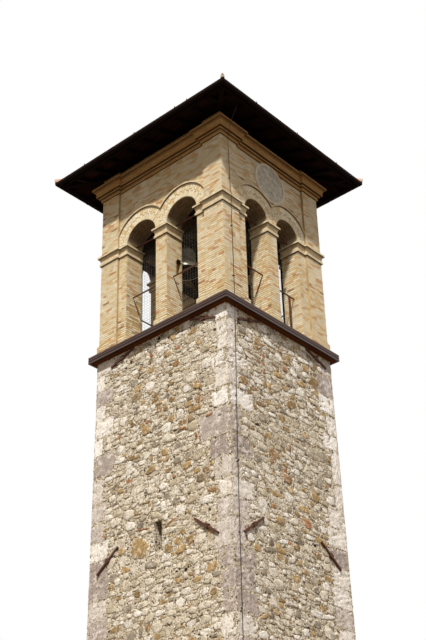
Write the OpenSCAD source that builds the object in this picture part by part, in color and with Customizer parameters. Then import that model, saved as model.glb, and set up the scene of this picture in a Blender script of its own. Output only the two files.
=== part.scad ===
// Bell tower: a battered rubble shaft under a brick belfry with twin arches on
// every side, a moulded cornice and a low hipped roof with wide timber eaves.
// Millimetres, +Z up, origin on the ground at the centre of the shaft.
// The front faces -Y and the side with the round disc faces +X.

/* [Shaft] */
// Height of the rubble shaft, ground to the underside of the ledge
shaft_h = 19200; // [12000:100:26000]
// Width of the shaft along X, at its top
shaft_w = 5030; // [4900:10:5400]
// Depth of the shaft along Y, at its top
shaft_d = 4650; // [4520:10:5100]
// How far each face of the shaft leans out at the ground
shaft_spread = 119; // [0:1:300]
// Thickness of the shaft walls at the top
shaft_wall = 900; // [780:10:1200]
// Width of the slit windows outside
slit_w = 260; // [150:10:400]
// Width of the slit windows inside
slit_inner_w = 620; // [400:10:900]
// Height of the slit windows
slit_h = 800; // [400:10:1400]
// Depth of the slit sill below the top of the shaft
slit_drop = 6400; // [5000:50:8500]

/* [Belfry] */
// Set-back of the belfry's corner pilasters from the head of the shaft
belfry_step = 15; // [5:5:60]
// How far the wall between the pilasters is set back
recess = 70; // [30:5:110]
// Thickness of the belfry walls between the pilasters
wall_t = 650; // [520:10:720]
// Width of each arch on the front and back
front_open_w = 1220; // [1000:10:1300]
// Width of the pier between the front arches
front_mid_w = 450; // [380:10:520]
// Width of each arch on the two sides
side_open_w = 1030; // [850:10:1100]
// Width of the pier between the side arches
side_mid_w = 425; // [360:5:500]
// Height of the sill course, from the top of the shaft
sill_h = 254; // [200:2:300]
// Height of the top of the pier bases
base_top = 650; // [500:10:800]
// How far the pier bases stand out
base_out = 45; // [20:1:60]
// Height of the underside of the impost mouldings
impost_z = 3460; // [3000:10:3700]
// Height of the impost mouldings
impost_h = 345; // [250:5:400]
// How far the impost mouldings stand out
impost_out = 95; // [60:1:110]
// Width of the ring of bricks round each arch
ring_w = 455; // [300:5:470]
// How far that ring stands out of the wall
ring_out = 14; // [6:1:25]
// Width of the hood moulding over each ring
hood_w = 48; // [30:1:70]
// How far the hood moulding stands out of the wall
hood_out = 62; // [40:1:90]
// Height of the underside of the cornice
cornice_z = 5930; // [5700:10:6200]
// Height of the cornice
cornice_h = 500; // [420:10:600]
// How far the cornice stands out
cornice_out = 268; // [200:1:320]
// Height of the wall head above the cornice
head_h = 370; // [250:10:500]
// Thickness of the belfry floor
floor_t = 180; // [120:10:240]

/* [Ledge] */
// How far the ledge stands out of the pilasters
ledge_out = 220; // [180:5:300]
// Height of the ledge
ledge_h = 236; // [180:2:250]
// Height of the timber board under the ledge
ledge_board_h = 88; // [60:1:110]

/* [Roof] */
// Overhang of the gutter's outer edge beyond the pilasters
eave_out = 1114; // [900:2:1300]
// Pitch of the roof in degrees
pitch = 18; // [14:1:24]
// Drop from the wall head to the underside of the boards at the fascia
eave_drop = 140; // [40:5:160]
// Thickness of the roof boards
board_t = 30; // [20:1:45]
// Thickness of the layer of tiles
tile_t = 72; // [50:1:100]
// Width of the rafters
rafter_w = 120; // [80:5:160]
// Depth of the rafters
rafter_h = 140; // [110:5:180]
// Spacing of the rafters
rafter_gap = 700; // [500:10:900]
// Width of the hip rafters
hip_w = 150; // [120:5:200]
// Radius of the half-round hip tiles
hip_tile_r = 105; // [80:1:140]
// Radius of the gutter
gutter_r = 75; // [60:1:85]
// Thickness of the timber fillet along the eaves
fillet_t = 80; // [40:1:110]
// Height of that fillet
fillet_h = 105; // [80:1:130]

/* [Ironwork] */
// Side of the square tie bars across the arches
tie_s = 38; // [25:1:60]
// Height of the tie bars
tie_z = 3925; // [3860:5:4000]
// Depth of the tie bars behind the outer face of the wall
tie_in = 400; // [250:10:500]
// Side of the square rails across the openings
rail_s = 32; // [20:1:45]
// Height of the rails
rail_z = 2030; // [1800:10:2300]
// Height of the low rail in one side opening
low_rail_z = 1860; // [1600:10:2000]
// Depth of the rails behind the outer face of the wall
rail_in = 265; // [150:5:400]
// Diameter of the struts below the rails
strut_d = 20; // [14:1:30]
// Side of the square anchor bars on the shaft
anchor_s = 52; // [40:1:80]
// Length of the anchor bars
anchor_l = 980; // [800:10:1100]
// Diameter of the lightning conductor
conductor_d = 16; // [8:1:24]
// Radius of the round disc high on one side
disc_r = 700; // [500:10:740]
// Thickness of the disc
disc_t = 52; // [46:1:80]

/* [Bell] */
// Diameter of the bell's mouth
bell_d = 900; // [700:10:1000]
// Height of the bell without its crown
bell_h = 830; // [600:10:860]
// Height of the lip above the top of the shaft
bell_lip_z = 2870; // [2700:10:3000]
// Place of the bell across the chamber
bell_x = -200; // [-400:10:400]
// Distance of the bell's middle behind the inner face of the front wall
bell_in = 650; // [645:5:900]
// Width of the bell's timber headstock
stock_w = 200; // [160:5:260]
// Height of the headstock
stock_h = 260; // [200:5:320]
// Radius of the iron gudgeons
gudgeon_r = 25; // [18:1:35]
// Side of the beams that carry the bell
beam_w = 160; // [130:5:160]
// Height of the beams that carry the bell
beam_h = 200; // [180:5:200]

/* [Hidden] */
$fn = 64;
small = 1;
big = 40000;

// Heights from the ground
z0 = shaft_h;
sill_z = z0 + sill_h;
base_z = z0 + base_top;
impost_bottom = z0 + impost_z;
spring_z = impost_bottom + impost_h;
cornice_bottom = z0 + cornice_z;
cornice_top = cornice_bottom + cornice_h;
head_z = cornice_top + head_h;

// Half sizes of the belfry: pilaster face, wall face and inner face
belfry_w = shaft_w - 2 * belfry_step;
belfry_d = shaft_d - 2 * belfry_step;
px = belfry_w / 2;
py = belfry_d / 2;
wx = px - recess;
wy = py - recess;
ix = wx - wall_t;
iy = wy - wall_t;

// Jambs and arch centres
front_jamb = front_mid_w / 2 + front_open_w;
side_jamb = side_mid_w / 2 + side_open_w;
front_c = (front_mid_w + front_open_w) / 2;
side_c = (side_mid_w + side_open_w) / 2;

// Shaft
lean = shaft_spread / shaft_h;
lean_angle = atan(lean);
function shaft_half_x(z) = shaft_w / 2 + lean * (shaft_h - z);
function shaft_half_y(z) = shaft_d / 2 + lean * (shaft_h - z);
void_x = shaft_w / 2 - shaft_wall;
void_y = shaft_d / 2 - shaft_wall;

// Roof: half sizes at the fascia's outer face, where the boards' underside is at eave_level
rise = tan(pitch);
gutter_w = 2 * gutter_r;
fx = px + eave_out - gutter_w;
fy = py + eave_out - gutter_w;
tile_over = 40;
hip_over = 130;
eave_level = head_z - eave_drop;
hip_run = fx - fy;
rafter_drop = rafter_h / cos(pitch);
board_rise = board_t / cos(pitch);
tile_rise = tile_t / cos(pitch);
plate_w = 160;
plate_h = 140;
plate_in = 100;
joint = 4;
seat = 0.3;

// Bell
pivot_z = z0 + bell_lip_z + bell_h + 250;
bell_y = -iy + bell_in;
beam_top = pivot_z - 60;
beam_gap = bell_d / 2 + 60;
bearer_w = 200;
bearer_x = ix - 160;
bearer_seat = 180;
bearer_top = beam_top - beam_h;
gudgeon_l = 150;
gudgeon_play = 0.3;
bearing_t = 90;

// Profiles of the mouldings, as [projection, height]
function arc_cove(p0, z0, p1, z1, n = 7) =
    [for (i = [0 : n]) [p1 - (p1 - p0) * cos(90 * i / n), z0 + (z1 - z0) * sin(90 * i / n)]];

base_profile = concat(
    [[base_out, sill_z], [base_out, base_z - 70], [base_out * 0.5, base_z - 40], [0, base_z]]);

impost_profile = concat(
    [[impost_out * 0.2, impost_bottom], [impost_out * 0.48, impost_bottom + impost_h * 0.05],
     [impost_out * 0.48, impost_bottom + impost_h * 0.27],
     [impost_out * 0.22, impost_bottom + impost_h * 0.30]],
    [for (i = [0 : 6]) let (a = 90 * i / 6)
        [impost_out * (0.22 + 0.60 * (1 - cos(a))), impost_bottom + impost_h * (0.34 + 0.46 * sin(a))]],
    [[impost_out, impost_bottom + impost_h * 0.82], [impost_out, spring_z]]);

cornice_profile = concat(
    [[cornice_out * 0.17, cornice_bottom], [cornice_out * 0.17, cornice_bottom + cornice_h * 0.20],
     [cornice_out * 0.36, cornice_bottom + cornice_h * 0.26],
     [cornice_out * 0.36, cornice_bottom + cornice_h * 0.36],
     [cornice_out * 0.62, cornice_bottom + cornice_h * 0.38],
     [cornice_out * 0.62, cornice_bottom + cornice_h * 0.52]],
    [for (i = [1 : 6]) let (a = 90 * i / 6)
        [cornice_out * (0.62 + 0.30 * (1 - cos(a))), cornice_bottom + cornice_h * (0.54 + 0.30 * sin(a))]],
    [[cornice_out, cornice_bottom + cornice_h * 0.86], [cornice_out, cornice_top],
     [0, cornice_top + 12], [0, head_z]]);

ledge_profile = [
    [0, ledge_board_h], [ledge_out - 70, ledge_board_h], [ledge_out - 70, 22], [ledge_out, 22],
    [ledge_out, 88], [ledge_out - 16, 94], [ledge_out - 16, 102], [ledge_out, 108],
    [ledge_out, 158], [ledge_out - 16, 164], [ledge_out - 16, 172], [ledge_out, 178],
    [ledge_out, ledge_h - 6], [ledge_out - 12, ledge_h], [0, ledge_h + 16]
];

// A block with a moulded profile on chosen sides, mitred at its corners
module moulded(x0, x1, y0, y1, profile, left = 1, right = 1, near = 1, far = 1) {
    n = len(profile);
    across = concat(
        [for (q = profile) [x0 - left * q[0], q[1]]],
        [for (i = [n - 1 : -1 : 0]) [x1 + right * profile[i][0], profile[i][1]]]);
    along = concat(
        [for (q = profile) [y0 - near * q[0], q[1]]],
        [for (i = [n - 1 : -1 : 0]) [y1 + far * profile[i][0], profile[i][1]]]);
    intersection() {
        translate([0, y1 + 1000, 0]) rotate([90, 0, 0]) linear_extrude(y1 - y0 + 2000) polygon(across);
        translate([x0 - 1000, 0, 0]) rotate([90, 0, 90]) linear_extrude(x1 - x0 + 2000) polygon(along);
    }
}

// A box from its low corner to its high corner
module span(a, b) {
    translate(a) cube([b[0] - a[0], b[1] - a[1], b[2] - a[2]]);
}

// The drawn piece at all four corners
module four_corners() {
    for (sx = [0, 1], sy = [0, 1])
        mirror([sx, 0, 0]) mirror([0, sy, 0]) children();
}

// The drawn piece on the front and again on the back
module front_and_back() {
    children();
    mirror([0, 1, 0]) children();
}

// The drawn piece on the right side and again on the left
module both_sides() {
    children();
    mirror([1, 0, 0]) children();
}

// A piece drawn on the front, turned to one side: 0 front, 1 right, 2 back, 3 left
module on_side(i) {
    rotate([0, 0, 90 * i]) children();
}

// Shaft

module shaft_body() {
    foot_x = shaft_half_x(0);
    foot_y = shaft_half_y(0);
    top_x = shaft_half_x(shaft_h);
    top_y = shaft_half_y(shaft_h);
    intersection() {
        translate([0, foot_y + 500, 0]) rotate([90, 0, 0]) linear_extrude(2 * foot_y + 1000)
            polygon([[-foot_x, 0], [foot_x, 0], [top_x, shaft_h], [-top_x, shaft_h]]);
        translate([-foot_x - 500, 0, 0]) rotate([90, 0, 90]) linear_extrude(2 * foot_x + 1000)
            polygon([[-foot_y, 0], [foot_y, 0], [top_y, shaft_h], [-top_y, shaft_h]]);
    }
}

module slit_cut() {
    outer = -shaft_half_y(0) - 100;
    translate([0, 0, shaft_h - slit_drop]) linear_extrude(slit_h)
        polygon([[-slit_w / 2, outer], [slit_w / 2, outer], [slit_w / 2, -shaft_d / 2 + 200],
                 [slit_inner_w / 2, -void_y + small], [-slit_inner_w / 2, -void_y + small],
                 [-slit_w / 2, -shaft_d / 2 + 200]]);
}

module shaft_front_back_walls() {
    color("tan") front_and_back() difference() {
        intersection() {
            shaft_body();
            span([-big, -big, -small], [big, -void_y, shaft_h + small]);
        }
        slit_cut();
    }
}

module shaft_side_walls() {
    color("tan") both_sides() intersection() {
        shaft_body();
        span([void_x, -void_y, -small], [big, void_y, shaft_h + small]);
    }
}

// Base of the belfry

module sill_course_front_back() {
    color("burlywood") front_and_back() span([-px, -py, z0], [px, -iy, sill_z]);
}

module sill_course_sides() {
    color("burlywood") both_sides() span([ix, -iy, z0], [px, iy, sill_z]);
}

module belfry_floor() {
    color("sienna") span([-ix, -iy, z0], [ix, iy, z0 + floor_t]);
}

// Ledge: four runs with a mitred joint at each corner

module mitre_keep(hx, hy) {
    translate([0, 0, -1000]) linear_extrude(big) polygon([
        [-hx - hy + joint, -2 * hy], [hx + hy - joint, -2 * hy],
        [hx - joint, -hy], [hx - joint, -hy / 2], [-hx + joint, -hy / 2], [-hx + joint, -hy]]);
}

module conductor_hole() {
    translate([px + pier_off, run_y(0.0682), z0 - 100]) cylinder(h = 600, r = conductor_d / 2 + 6);
}

module ring_runs(hx, hy) {
    front_and_back() intersection() {
        translate([-hx - hy, -hy, 0]) rotate([90, 0, 90]) linear_extrude(2 * (hx + hy))
            mirror([1, 0]) children();
        mitre_keep(hx, hy);
    }
    both_sides() intersection() {
        translate([hx, hx + hy, 0]) rotate([90, 0, 0]) linear_extrude(2 * (hx + hy)) children();
        rotate([0, 0, 90]) mitre_keep(hy, hx);
    }
}

module ledge_board() {
    color("saddlebrown") difference() {
        translate([0, 0, z0]) ring_runs(px, py) square([ledge_out - 70, ledge_board_h]);
        conductor_hole();
    }
}

module ledge_flashing() {
    color("#4a3026") difference() {
        translate([0, 0, z0]) ring_runs(px, py) polygon(ledge_profile);
        conductor_hole();
    }
}

// Piers, drawn for the corner at +X -Y and for the front and the right side

module corner_pier(profile) {
    difference() {
        union() {
            moulded(front_jamb, wx, -wy, -iy, profile, left = 1, right = 1, near = 1, far = 0);
            moulded(ix, wx, -wy, -side_jamb, profile, left = 0, right = 1, near = 1, far = 1);
            moulded(ix, px, -py, -iy, profile);
        }
        span([-ix, -iy, 0], [ix, iy, big]);
    }
}

module centre_piers_with(profile) {
    front_and_back() moulded(-front_mid_w / 2, front_mid_w / 2, -wy, -iy, profile, far = 0);
    both_sides() moulded(ix, wx, -side_mid_w / 2, side_mid_w / 2, profile, left = 0);
}

module pier_bases() {
    color("khaki") {
        four_corners() corner_pier(base_profile);
        centre_piers_with(base_profile);
    }
}

pier_profile = [[0, base_z], [0, impost_bottom]];

module corner_piers() {
    color("khaki") four_corners() corner_pier(pier_profile);
}

// A round-headed niche in the inner edge of the front centre pier's right reveal
niche_w = 230;
niche_h = 560;
niche_deep = 150;
niche_z = base_z + 1550;

module niche() {
    translate([front_mid_w / 2 - niche_deep, -iy - niche_w / 2 - 12, niche_z])
        rotate([90, 0, 90]) linear_extrude(niche_deep + 100) {
            translate([-niche_w / 2, 0]) square([niche_w, niche_h - niche_w / 2]);
            translate([0, niche_h - niche_w / 2]) circle(r = niche_w / 2);
        }
}

module centre_piers() {
    color("khaki") difference() {
        centre_piers_with(pier_profile);
        niche();
    }
}

module corner_imposts() {
    color("wheat") difference() {
        four_corners() intersection() {
            corner_pier(impost_profile);
            span([0, -big, 0], [big, -side_jamb + impost_out, big]);
        }
        bell_bearers_body();
    }
}

module centre_imposts() {
    color("wheat") centre_piers_with(impost_profile);
}

// A narrow slot low in the front right pilaster, above the impost
weep_w = 22;
weep_h = 120;
weep_deep = 140;
weep_in = 460;

module upper_corner_pilasters() {
    color("khaki") difference() {
        four_corners() span([ix, -py, spring_z], [px, -iy, cornice_bottom]);
        span([px - weep_in - weep_w / 2, -py - 1, spring_z + impost_h / 3],
             [px - weep_in + weep_w / 2, -py + weep_deep, spring_z + impost_h / 3 + weep_h]);
    }
}

// Twin arches, drawn on the front of a wall whose outer face is at y = -face

module twin_arch_wall(half, face, centre, r) {
    inner = face - wall_t;
    difference() {
        union() {
            span([-half, -face, spring_z], [half, -inner, cornice_bottom]);
            intersection() {
                for (s = [-1, 1]) translate([s * centre, -face + small, spring_z])
                    rotate([90, 0, 0]) cylinder(h = ring_out + small, r = r + ring_w, $fn = 96);
                span([-half, -face - 100, spring_z], [half, -face + 100, big]);
            }
        }
        for (s = [-1, 1]) translate([s * centre, -inner + 50, spring_z])
            rotate([90, 0, 0]) cylinder(h = wall_t + 200, r = r, $fn = 96);
    }
}

// Height of the foot of each hood above the springing
hood_foot = 300;

module twin_hoods(half, face, centre, r) {
    inside = r + ring_w;
    translate([0, -face, spring_z]) rotate([90, 0, 0]) linear_extrude(hood_out) intersection() {
        difference() {
            for (s = [-1, 1]) translate([s * centre, 0]) circle(r = inside + hood_w, $fn = 192);
            for (s = [-1, 1]) translate([s * centre, 0]) circle(r = inside, $fn = 192);
        }
        translate([-half, hood_foot]) square([2 * half, big]);
    }
}

module front_arch_wall() {
    color("khaki") twin_arch_wall(ix, wy, front_c, front_open_w / 2);
}

module back_arch_wall() {
    color("khaki") on_side(2) twin_arch_wall(ix, wy, front_c, front_open_w / 2);
}

module right_arch_wall() {
    color("khaki") on_side(1) twin_arch_wall(iy, wx, side_c, side_open_w / 2);
}

module left_arch_wall() {
    color("khaki") on_side(3) twin_arch_wall(iy, wx, side_c, side_open_w / 2);
}

module hood_mouldings() {
    color("wheat") {
        for (i = [0, 2]) on_side(i) twin_hoods(ix, wy, front_c, front_open_w / 2);
        on_side(3) twin_hoods(iy, wx, side_c, side_open_w / 2);
        difference() {
            on_side(1) twin_hoods(iy, wx, side_c, side_open_w / 2);
            translate([wx - 50, 0, z0 + disc_z]) rotate([0, 90, 0]) cylinder(h = 300, r = disc_r + 1);
        }
    }
}

// Cornice: it breaks forward over the corner pilasters

module cornice_body() {
    difference() {
        union() {
            moulded(-wx, wx, -wy, wy, cornice_profile);
            four_corners() moulded(ix, px, -py, -iy, cornice_profile);
        }
        span([-ix, -iy, cornice_bottom - small], [ix, iy, head_z + small]);
        translate([wx, 0, z0 + disc_z]) rotate([0, 90, 0]) cylinder(h = disc_t, r = disc_r);
    }
}

module cornice_front_back() {
    color("peru") front_and_back() intersection() {
        cornice_body();
        span([-big, -big, 0], [big, -iy, big]);
    }
}

module cornice_sides() {
    color("peru") intersection() {
        cornice_body();
        span([-big, -iy, 0], [big, iy, big]);
    }
}

// Roof timbers

// Height of the underside of the boards at a distance in from the fascia
function board_under(run) = eave_level + run * rise;

module wall_plates() {
    color("#3a2418") {
        front_and_back() span([-wx + plate_in, -wy + plate_in, head_z],
                              [wx - plate_in, -wy + plate_in + plate_w, head_z + plate_h]);
        both_sides() span([wx - plate_in - plate_w, -wy + plate_in + plate_w, head_z],
                          [wx - plate_in, wy - plate_in - plate_w, head_z + plate_h]);
    }
}

// One rafter on the front, from the fascia in to the middle
module rafter(x, half_depth) {
    tail = half_depth - fillet_t;
    translate([x - rafter_w / 2, 0, 0]) rotate([90, 0, 90]) linear_extrude(rafter_w)
        polygon([
            [-tail, board_under(fillet_t) - seat], [0, board_under(half_depth) - seat],
            [0, board_under(half_depth) - rafter_drop], [-tail, board_under(fillet_t) - rafter_drop]]);
}

// Plan of the roof plane that faces the front, kept clear of the hips
module plane_plan(half_depth, offset_run, clear) {
    reach = half_depth + 200;
    apex = offset_run - clear;
    tip = max(apex, small);
    linear_extrude(big) polygon([
        [-(reach + apex), -reach], [reach + apex, -reach], [tip, min(apex, 0)], [-tip, min(apex, 0)]]);
}

module rafter_set(half_width, half_depth, offset_run, ridge_gap) {
    count = floor((half_width - 150) / rafter_gap);
    intersection() {
        for (i = [-count : count]) rafter(i * rafter_gap, half_depth);
        plane_plan(half_depth, offset_run, hip_w / 2 * sqrt(2) + 2);
        span([-big, -big, 0], [big, -ridge_gap, big]);
    }
}

module rafters() {
    color("#2e1c12") difference() {
        union() {
            front_and_back() rafter_set(fx, fy, hip_run, ridge_y);
            both_sides() rotate([0, 0, 90]) rafter_set(fy, fx, -hip_run, ridge_x + ridge_w / 2);
        }
        wall_plates();
    }
}

// The ridge lies along the longer side of the roof
ridge_w = 90;
ridge_h = 220;
ridge_x = max(hip_run, ridge_w / 2);
ridge_y = max(-hip_run, ridge_w / 2);
ridge_run_in = min(fx, fy);

module ridge_beam() {
    top = board_under(ridge_run_in) - ridge_w / 2 * rise - seat;
    color("#2e1c12") span([-ridge_x, -ridge_y, top - ridge_h], [ridge_x, ridge_y, top]);
}

// A hip rafter under one hip, from the fascia's corner to the ridge
module hip_rafter() {
    run = (ridge_run_in - fillet_t) * sqrt(2);
    start = fillet_t * sqrt(2);
    slope = rise / sqrt(2);
    lower = hip_w / 2 / sqrt(2) * rise;
    top = eave_level - lower - seat;
    depth = rafter_drop;
    translate([fx, -fy, 0]) rotate([0, 0, 135]) translate([0, hip_w / 2, 0]) rotate([90, 0, 0])
        linear_extrude(hip_w) polygon([
            [start, top + start * slope], [run - 60, top + (run - 60) * slope],
            [run - 60, top + (run - 60) * slope - depth], [start, top + start * slope - depth]]);
}

module hip_rafters() {
    color("#2e1c12") difference() {
        four_corners() intersection() {
            hip_rafter();
            span([ridge_w, -fy + fillet_t, 0], [fx - fillet_t, -ridge_w, big]);
        }
        wall_plates();
        ridge_beam();
    }
}

// A solid hipped form with vertical eaves, its top plane raised by lift
module hip_form(over, lift) {
    hx = fx + over;
    hy = fy + over;
    low = eave_level - 2000;
    edge = eave_level + lift - over * rise;
    intersection() {
        translate([0, hy + 1000, 0]) rotate([90, 0, 0]) linear_extrude(2 * hy + 2000)
            polygon([[-hx, low], [hx, low], [hx, edge], [0, edge + hx * rise], [-hx, edge]]);
        translate([-hx - 1000, 0, 0]) rotate([90, 0, 90]) linear_extrude(2 * hx + 2000)
            polygon([[-hy, low], [hy, low], [hy, edge], [0, edge + hy * rise], [-hy, edge]]);
    }
}

module roof_layer(over, under, top) {
    difference() {
        hip_form(over, top);
        hip_form(over + 500, under);
    }
}

module ridge_joint() {
    if (hip_run >= 0) span([-big, -joint / 2, 0], [big, joint / 2, big]);
    else span([-joint / 2, -big, 0], [joint / 2, big, big]);
}

module front_planes_only() {
    difference() {
        front_and_back() plane_plan(fy, hip_run, 0);
        if (hip_run >= 0) ridge_joint();
    }
}

module all_but_side_planes() {
    front_and_back() plane_plan(fy, hip_run, 0);
    if (hip_run < 0) ridge_joint();
}

module roof_boards_front_back() {
    color("#5a3522") intersection() {
        roof_layer(0, 0, board_rise);
        front_planes_only();
    }
}

module roof_boards_sides() {
    color("#5a3522") difference() {
        roof_layer(0, 0, board_rise);
        all_but_side_planes();
    }
}

module roof_tiles_front_back() {
    color("indianred") intersection() {
        roof_layer(tile_over, board_rise, board_rise + tile_rise);
        front_planes_only();
    }
}

module roof_tiles_sides() {
    color("indianred") difference() {
        roof_layer(tile_over, board_rise, board_rise + tile_rise);
        all_but_side_planes();
    }
}

module hip_and_ridge_tiles() {
    top = board_rise + tile_rise;
    run = (ridge_run_in + hip_over) * sqrt(2);
    hip_angle = atan(rise / sqrt(2));
    ridge_z = eave_level + top + ridge_run_in * rise;
    color("indianred") difference() {
        union() {
            four_corners() translate([max(hip_run, 0), min(hip_run, 0), ridge_z])
                rotate([0, 0, -45]) rotate([0, 90 + hip_angle, 0])
                translate([0, 0, -40]) cylinder(h = run / cos(hip_angle) + 40, r = hip_tile_r, $fn = 12);
            rotate([0, 0, hip_run < 0 ? 90 : 0]) translate([-abs(hip_run) - 30, 0, ridge_z])
                rotate([0, 90, 0]) cylinder(h = 2 * abs(hip_run) + 60, r = hip_tile_r + 3, $fn = 12);
        }
        hip_form(600, top + seat);
    }
}

// Eaves

module eaves_fillet() {
    color("#33201a") translate([0, 0, eave_level - fillet_h])
        ring_runs(fx - fillet_t, fy - fillet_t) square([fillet_t, fillet_h - joint]);
}

gutter_level = eave_level - 5;
gutter_back = 8;
gutter_front = 60;
gutter_wall = 6;

function half_circle(c, r, n = 12) = [for (i = [0 : n]) [c - r * cos(180 * i / n), -r * sin(180 * i / n)]];

module gutter_section() {
    inner = gutter_r - gutter_wall;
    polygon(concat(
        [[0, gutter_back]], half_circle(gutter_r, gutter_r), [[2 * gutter_r, gutter_front]],
        [[2 * gutter_r - gutter_wall, gutter_front]],
        [for (i = [12 : -1 : 0]) half_circle(gutter_r, inner)[i]], [[gutter_wall, gutter_back]]));
}

module gutters() {
    color("#33241f") translate([0, 0, gutter_level]) ring_runs(fx, fy) gutter_section();
}

bracket_w = 34;
bracket_t = 6;
bracket_rise = 34;
bracket_gap = 1;
front_brackets = [-2230, -10, 1700, 2190];
side_brackets = [-1900, 36, 2035];

// A strap under the gutter, from the fillet behind it to a turned-up end in front
module bracket_at(face, along) {
    near = gutter_r + bracket_gap;
    far = near + bracket_t;
    translate([along + bracket_w / 2, -face, gutter_level]) rotate([90, 0, -90])
        linear_extrude(bracket_w) polygon(concat(
            [[0, -26], [0, -44]], [for (i = [3 : 12]) half_circle(gutter_r, far)[i]],
            [[gutter_r + far, gutter_front + bracket_rise], [gutter_r + near, gutter_front + bracket_rise]],
            [for (i = [12 : -1 : 3]) half_circle(gutter_r, near)[i]]));
}

module gutter_brackets() {
    color("#33241f") {
        for (x = front_brackets) bracket_at(fy, x);
        for (x = front_brackets) rotate([0, 0, 180]) bracket_at(fy, x);
        for (y = side_brackets) rotate([0, 0, 90]) bracket_at(fx, y);
        for (y = side_brackets) rotate([0, 0, -90]) bracket_at(fx, y);
    }
}

// Disc high on the right side, with a thin raised rim

disc_z = 5345;

module wall_disc() {
    color("#a3a398") translate([wx, 0, z0 + disc_z]) rotate([0, 90, 0]) {
        difference() {
            cylinder(h = disc_t, r = disc_r);
            translate([0, 0, disc_t - 8]) cylinder(h = 20, r = disc_r - 90);
        }
        difference() {
            translate([0, 0, disc_t - 8]) cylinder(h = 18, r = disc_r - 70);
            translate([0, 0, disc_t - 9]) cylinder(h = 30, r = disc_r - 90);
        }
    }
}

// Ironwork

module tie_bars() {
    front_r = front_open_w / 2;
    side_r = side_open_w / 2;
    up = tie_z - impost_z - impost_h;
    front_half = sqrt(front_r * front_r - (up + tie_s / 2) * (up + tie_s / 2)) - seat;
    side_half = sqrt(side_r * side_r - (up + tie_s / 2) * (up + tie_s / 2)) - seat;
    color("#6b4a40") {
        for (i = [0, 2], s = [-1, 1]) on_side(i)
            span([s * front_c - front_half, -wy + tie_in - tie_s / 2, z0 + tie_z - tie_s / 2],
                 [s * front_c + front_half, -wy + tie_in + tie_s / 2, z0 + tie_z + tie_s / 2]);
        for (i = [1, 3], s = [-1, 1]) on_side(i)
            span([s * side_c - side_half, -wx + tie_in - tie_s / 2, z0 + tie_z - tie_s / 2],
                 [s * side_c + side_half, -wx + tie_in + tie_s / 2, z0 + tie_z + tie_s / 2]);
    }
}

// A rod between two points
module rod(a, b, d) {
    v = b - a;
    l = norm(v);
    translate(a) rotate([0, acos(v[2] / l), atan2(v[1], v[0])]) translate([0, 0, -2])
        cylinder(h = l + 4, r = d / 2, $fn = 12);
}

strut_run = 340;
strut_fall = 660;

module rail(a, b, face, z) {
    y = -face + rail_in;
    span([a, y - rail_s / 2, z0 + z - rail_s / 2], [b, y + rail_s / 2, z0 + z + rail_s / 2]);
}

module rail_struts(a, b, face, z) {
    y = -face + rail_in;
    for (x = [a + strut_d / 2 + 4, b - strut_d / 2 - 4])
        rod([x, y, z0 + z - rail_s / 4], [x, y + strut_run, z0 + z - strut_fall], strut_d);
}

module rail_post(x, face, z) {
    span([x - 26, -face + rail_in - 22, sill_z], [x + 26, -face + rail_in + 22, z0 + z - rail_s / 4]);
}

module opening_rails() {
    fa = front_mid_w / 2;
    sa = side_mid_w / 2;
    color("#3c2a24") {
        for (i = [0, 2], s = [0, 1]) on_side(i) mirror([s, 0, 0]) {
            rail(fa, front_jamb, wy, rail_z);
            rail_struts(fa, front_jamb, wy, rail_z);
        }
        on_side(3) for (s = [0, 1]) mirror([s, 0, 0]) {
            rail(sa, side_jamb, wx, rail_z);
            rail_struts(sa, side_jamb, wx, rail_z);
        }
        on_side(1) {
            mirror([1, 0, 0]) rail(sa, side_jamb, wx, rail_z);
            mirror([1, 0, 0]) rail_struts(sa, side_jamb, wx, rail_z);
            rail(sa, side_jamb, wx, low_rail_z);
            rail_post(1010, wx, low_rail_z);
        }
    }
}

anchor_plate = 120;

// One anchor bar flat against the front of the shaft, its middle at x, z
module anchor_bar(x, z, half, tilt) {
    y = -(half + lean * (shaft_h - z));
    translate([x, y - seat, z]) rotate([-lean_angle, 0, 0]) rotate([0, tilt, 0]) {
        translate([-anchor_l / 2, -anchor_s, -anchor_s / 2]) cube([anchor_l, anchor_s, anchor_s]);
        translate([-anchor_plate / 2, -anchor_s - 16, -anchor_plate / 2])
            cube([anchor_plate, anchor_s + 16, anchor_plate]);
    }
}

upper_anchor_z = -185;
upper_tilt = 18.5;
lower_anchor_z = -6230;
lower_tilt = 37;

// Distances of the left and right bars from the corners, on the front and then on the right side
upper_anchor_in = [[1075, 835], [945, 735]];
lower_anchor_in = [[675, 815], [725, 775]];

module anchors_on(i, half, across, inset, z, tilt) {
    on_side(i) {
        anchor_bar(inset[0] - across, z0 + z, half, -tilt);
        anchor_bar(across - inset[1], z0 + z, half, tilt);
    }
}

module anchor_bars() {
    color("#2c211d") {
        for (i = [0 : 3]) {
            half = (i % 2 == 0 ? shaft_d : shaft_w) / 2;
            across = (i % 2 == 0 ? shaft_w : shaft_d) / 2;
            anchors_on(i, half, across, upper_anchor_in[i % 2], upper_anchor_z, upper_tilt);
            anchors_on(i, half, across, lower_anchor_in[i % 2], lower_anchor_z, lower_tilt);
        }
    }
}

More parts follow.
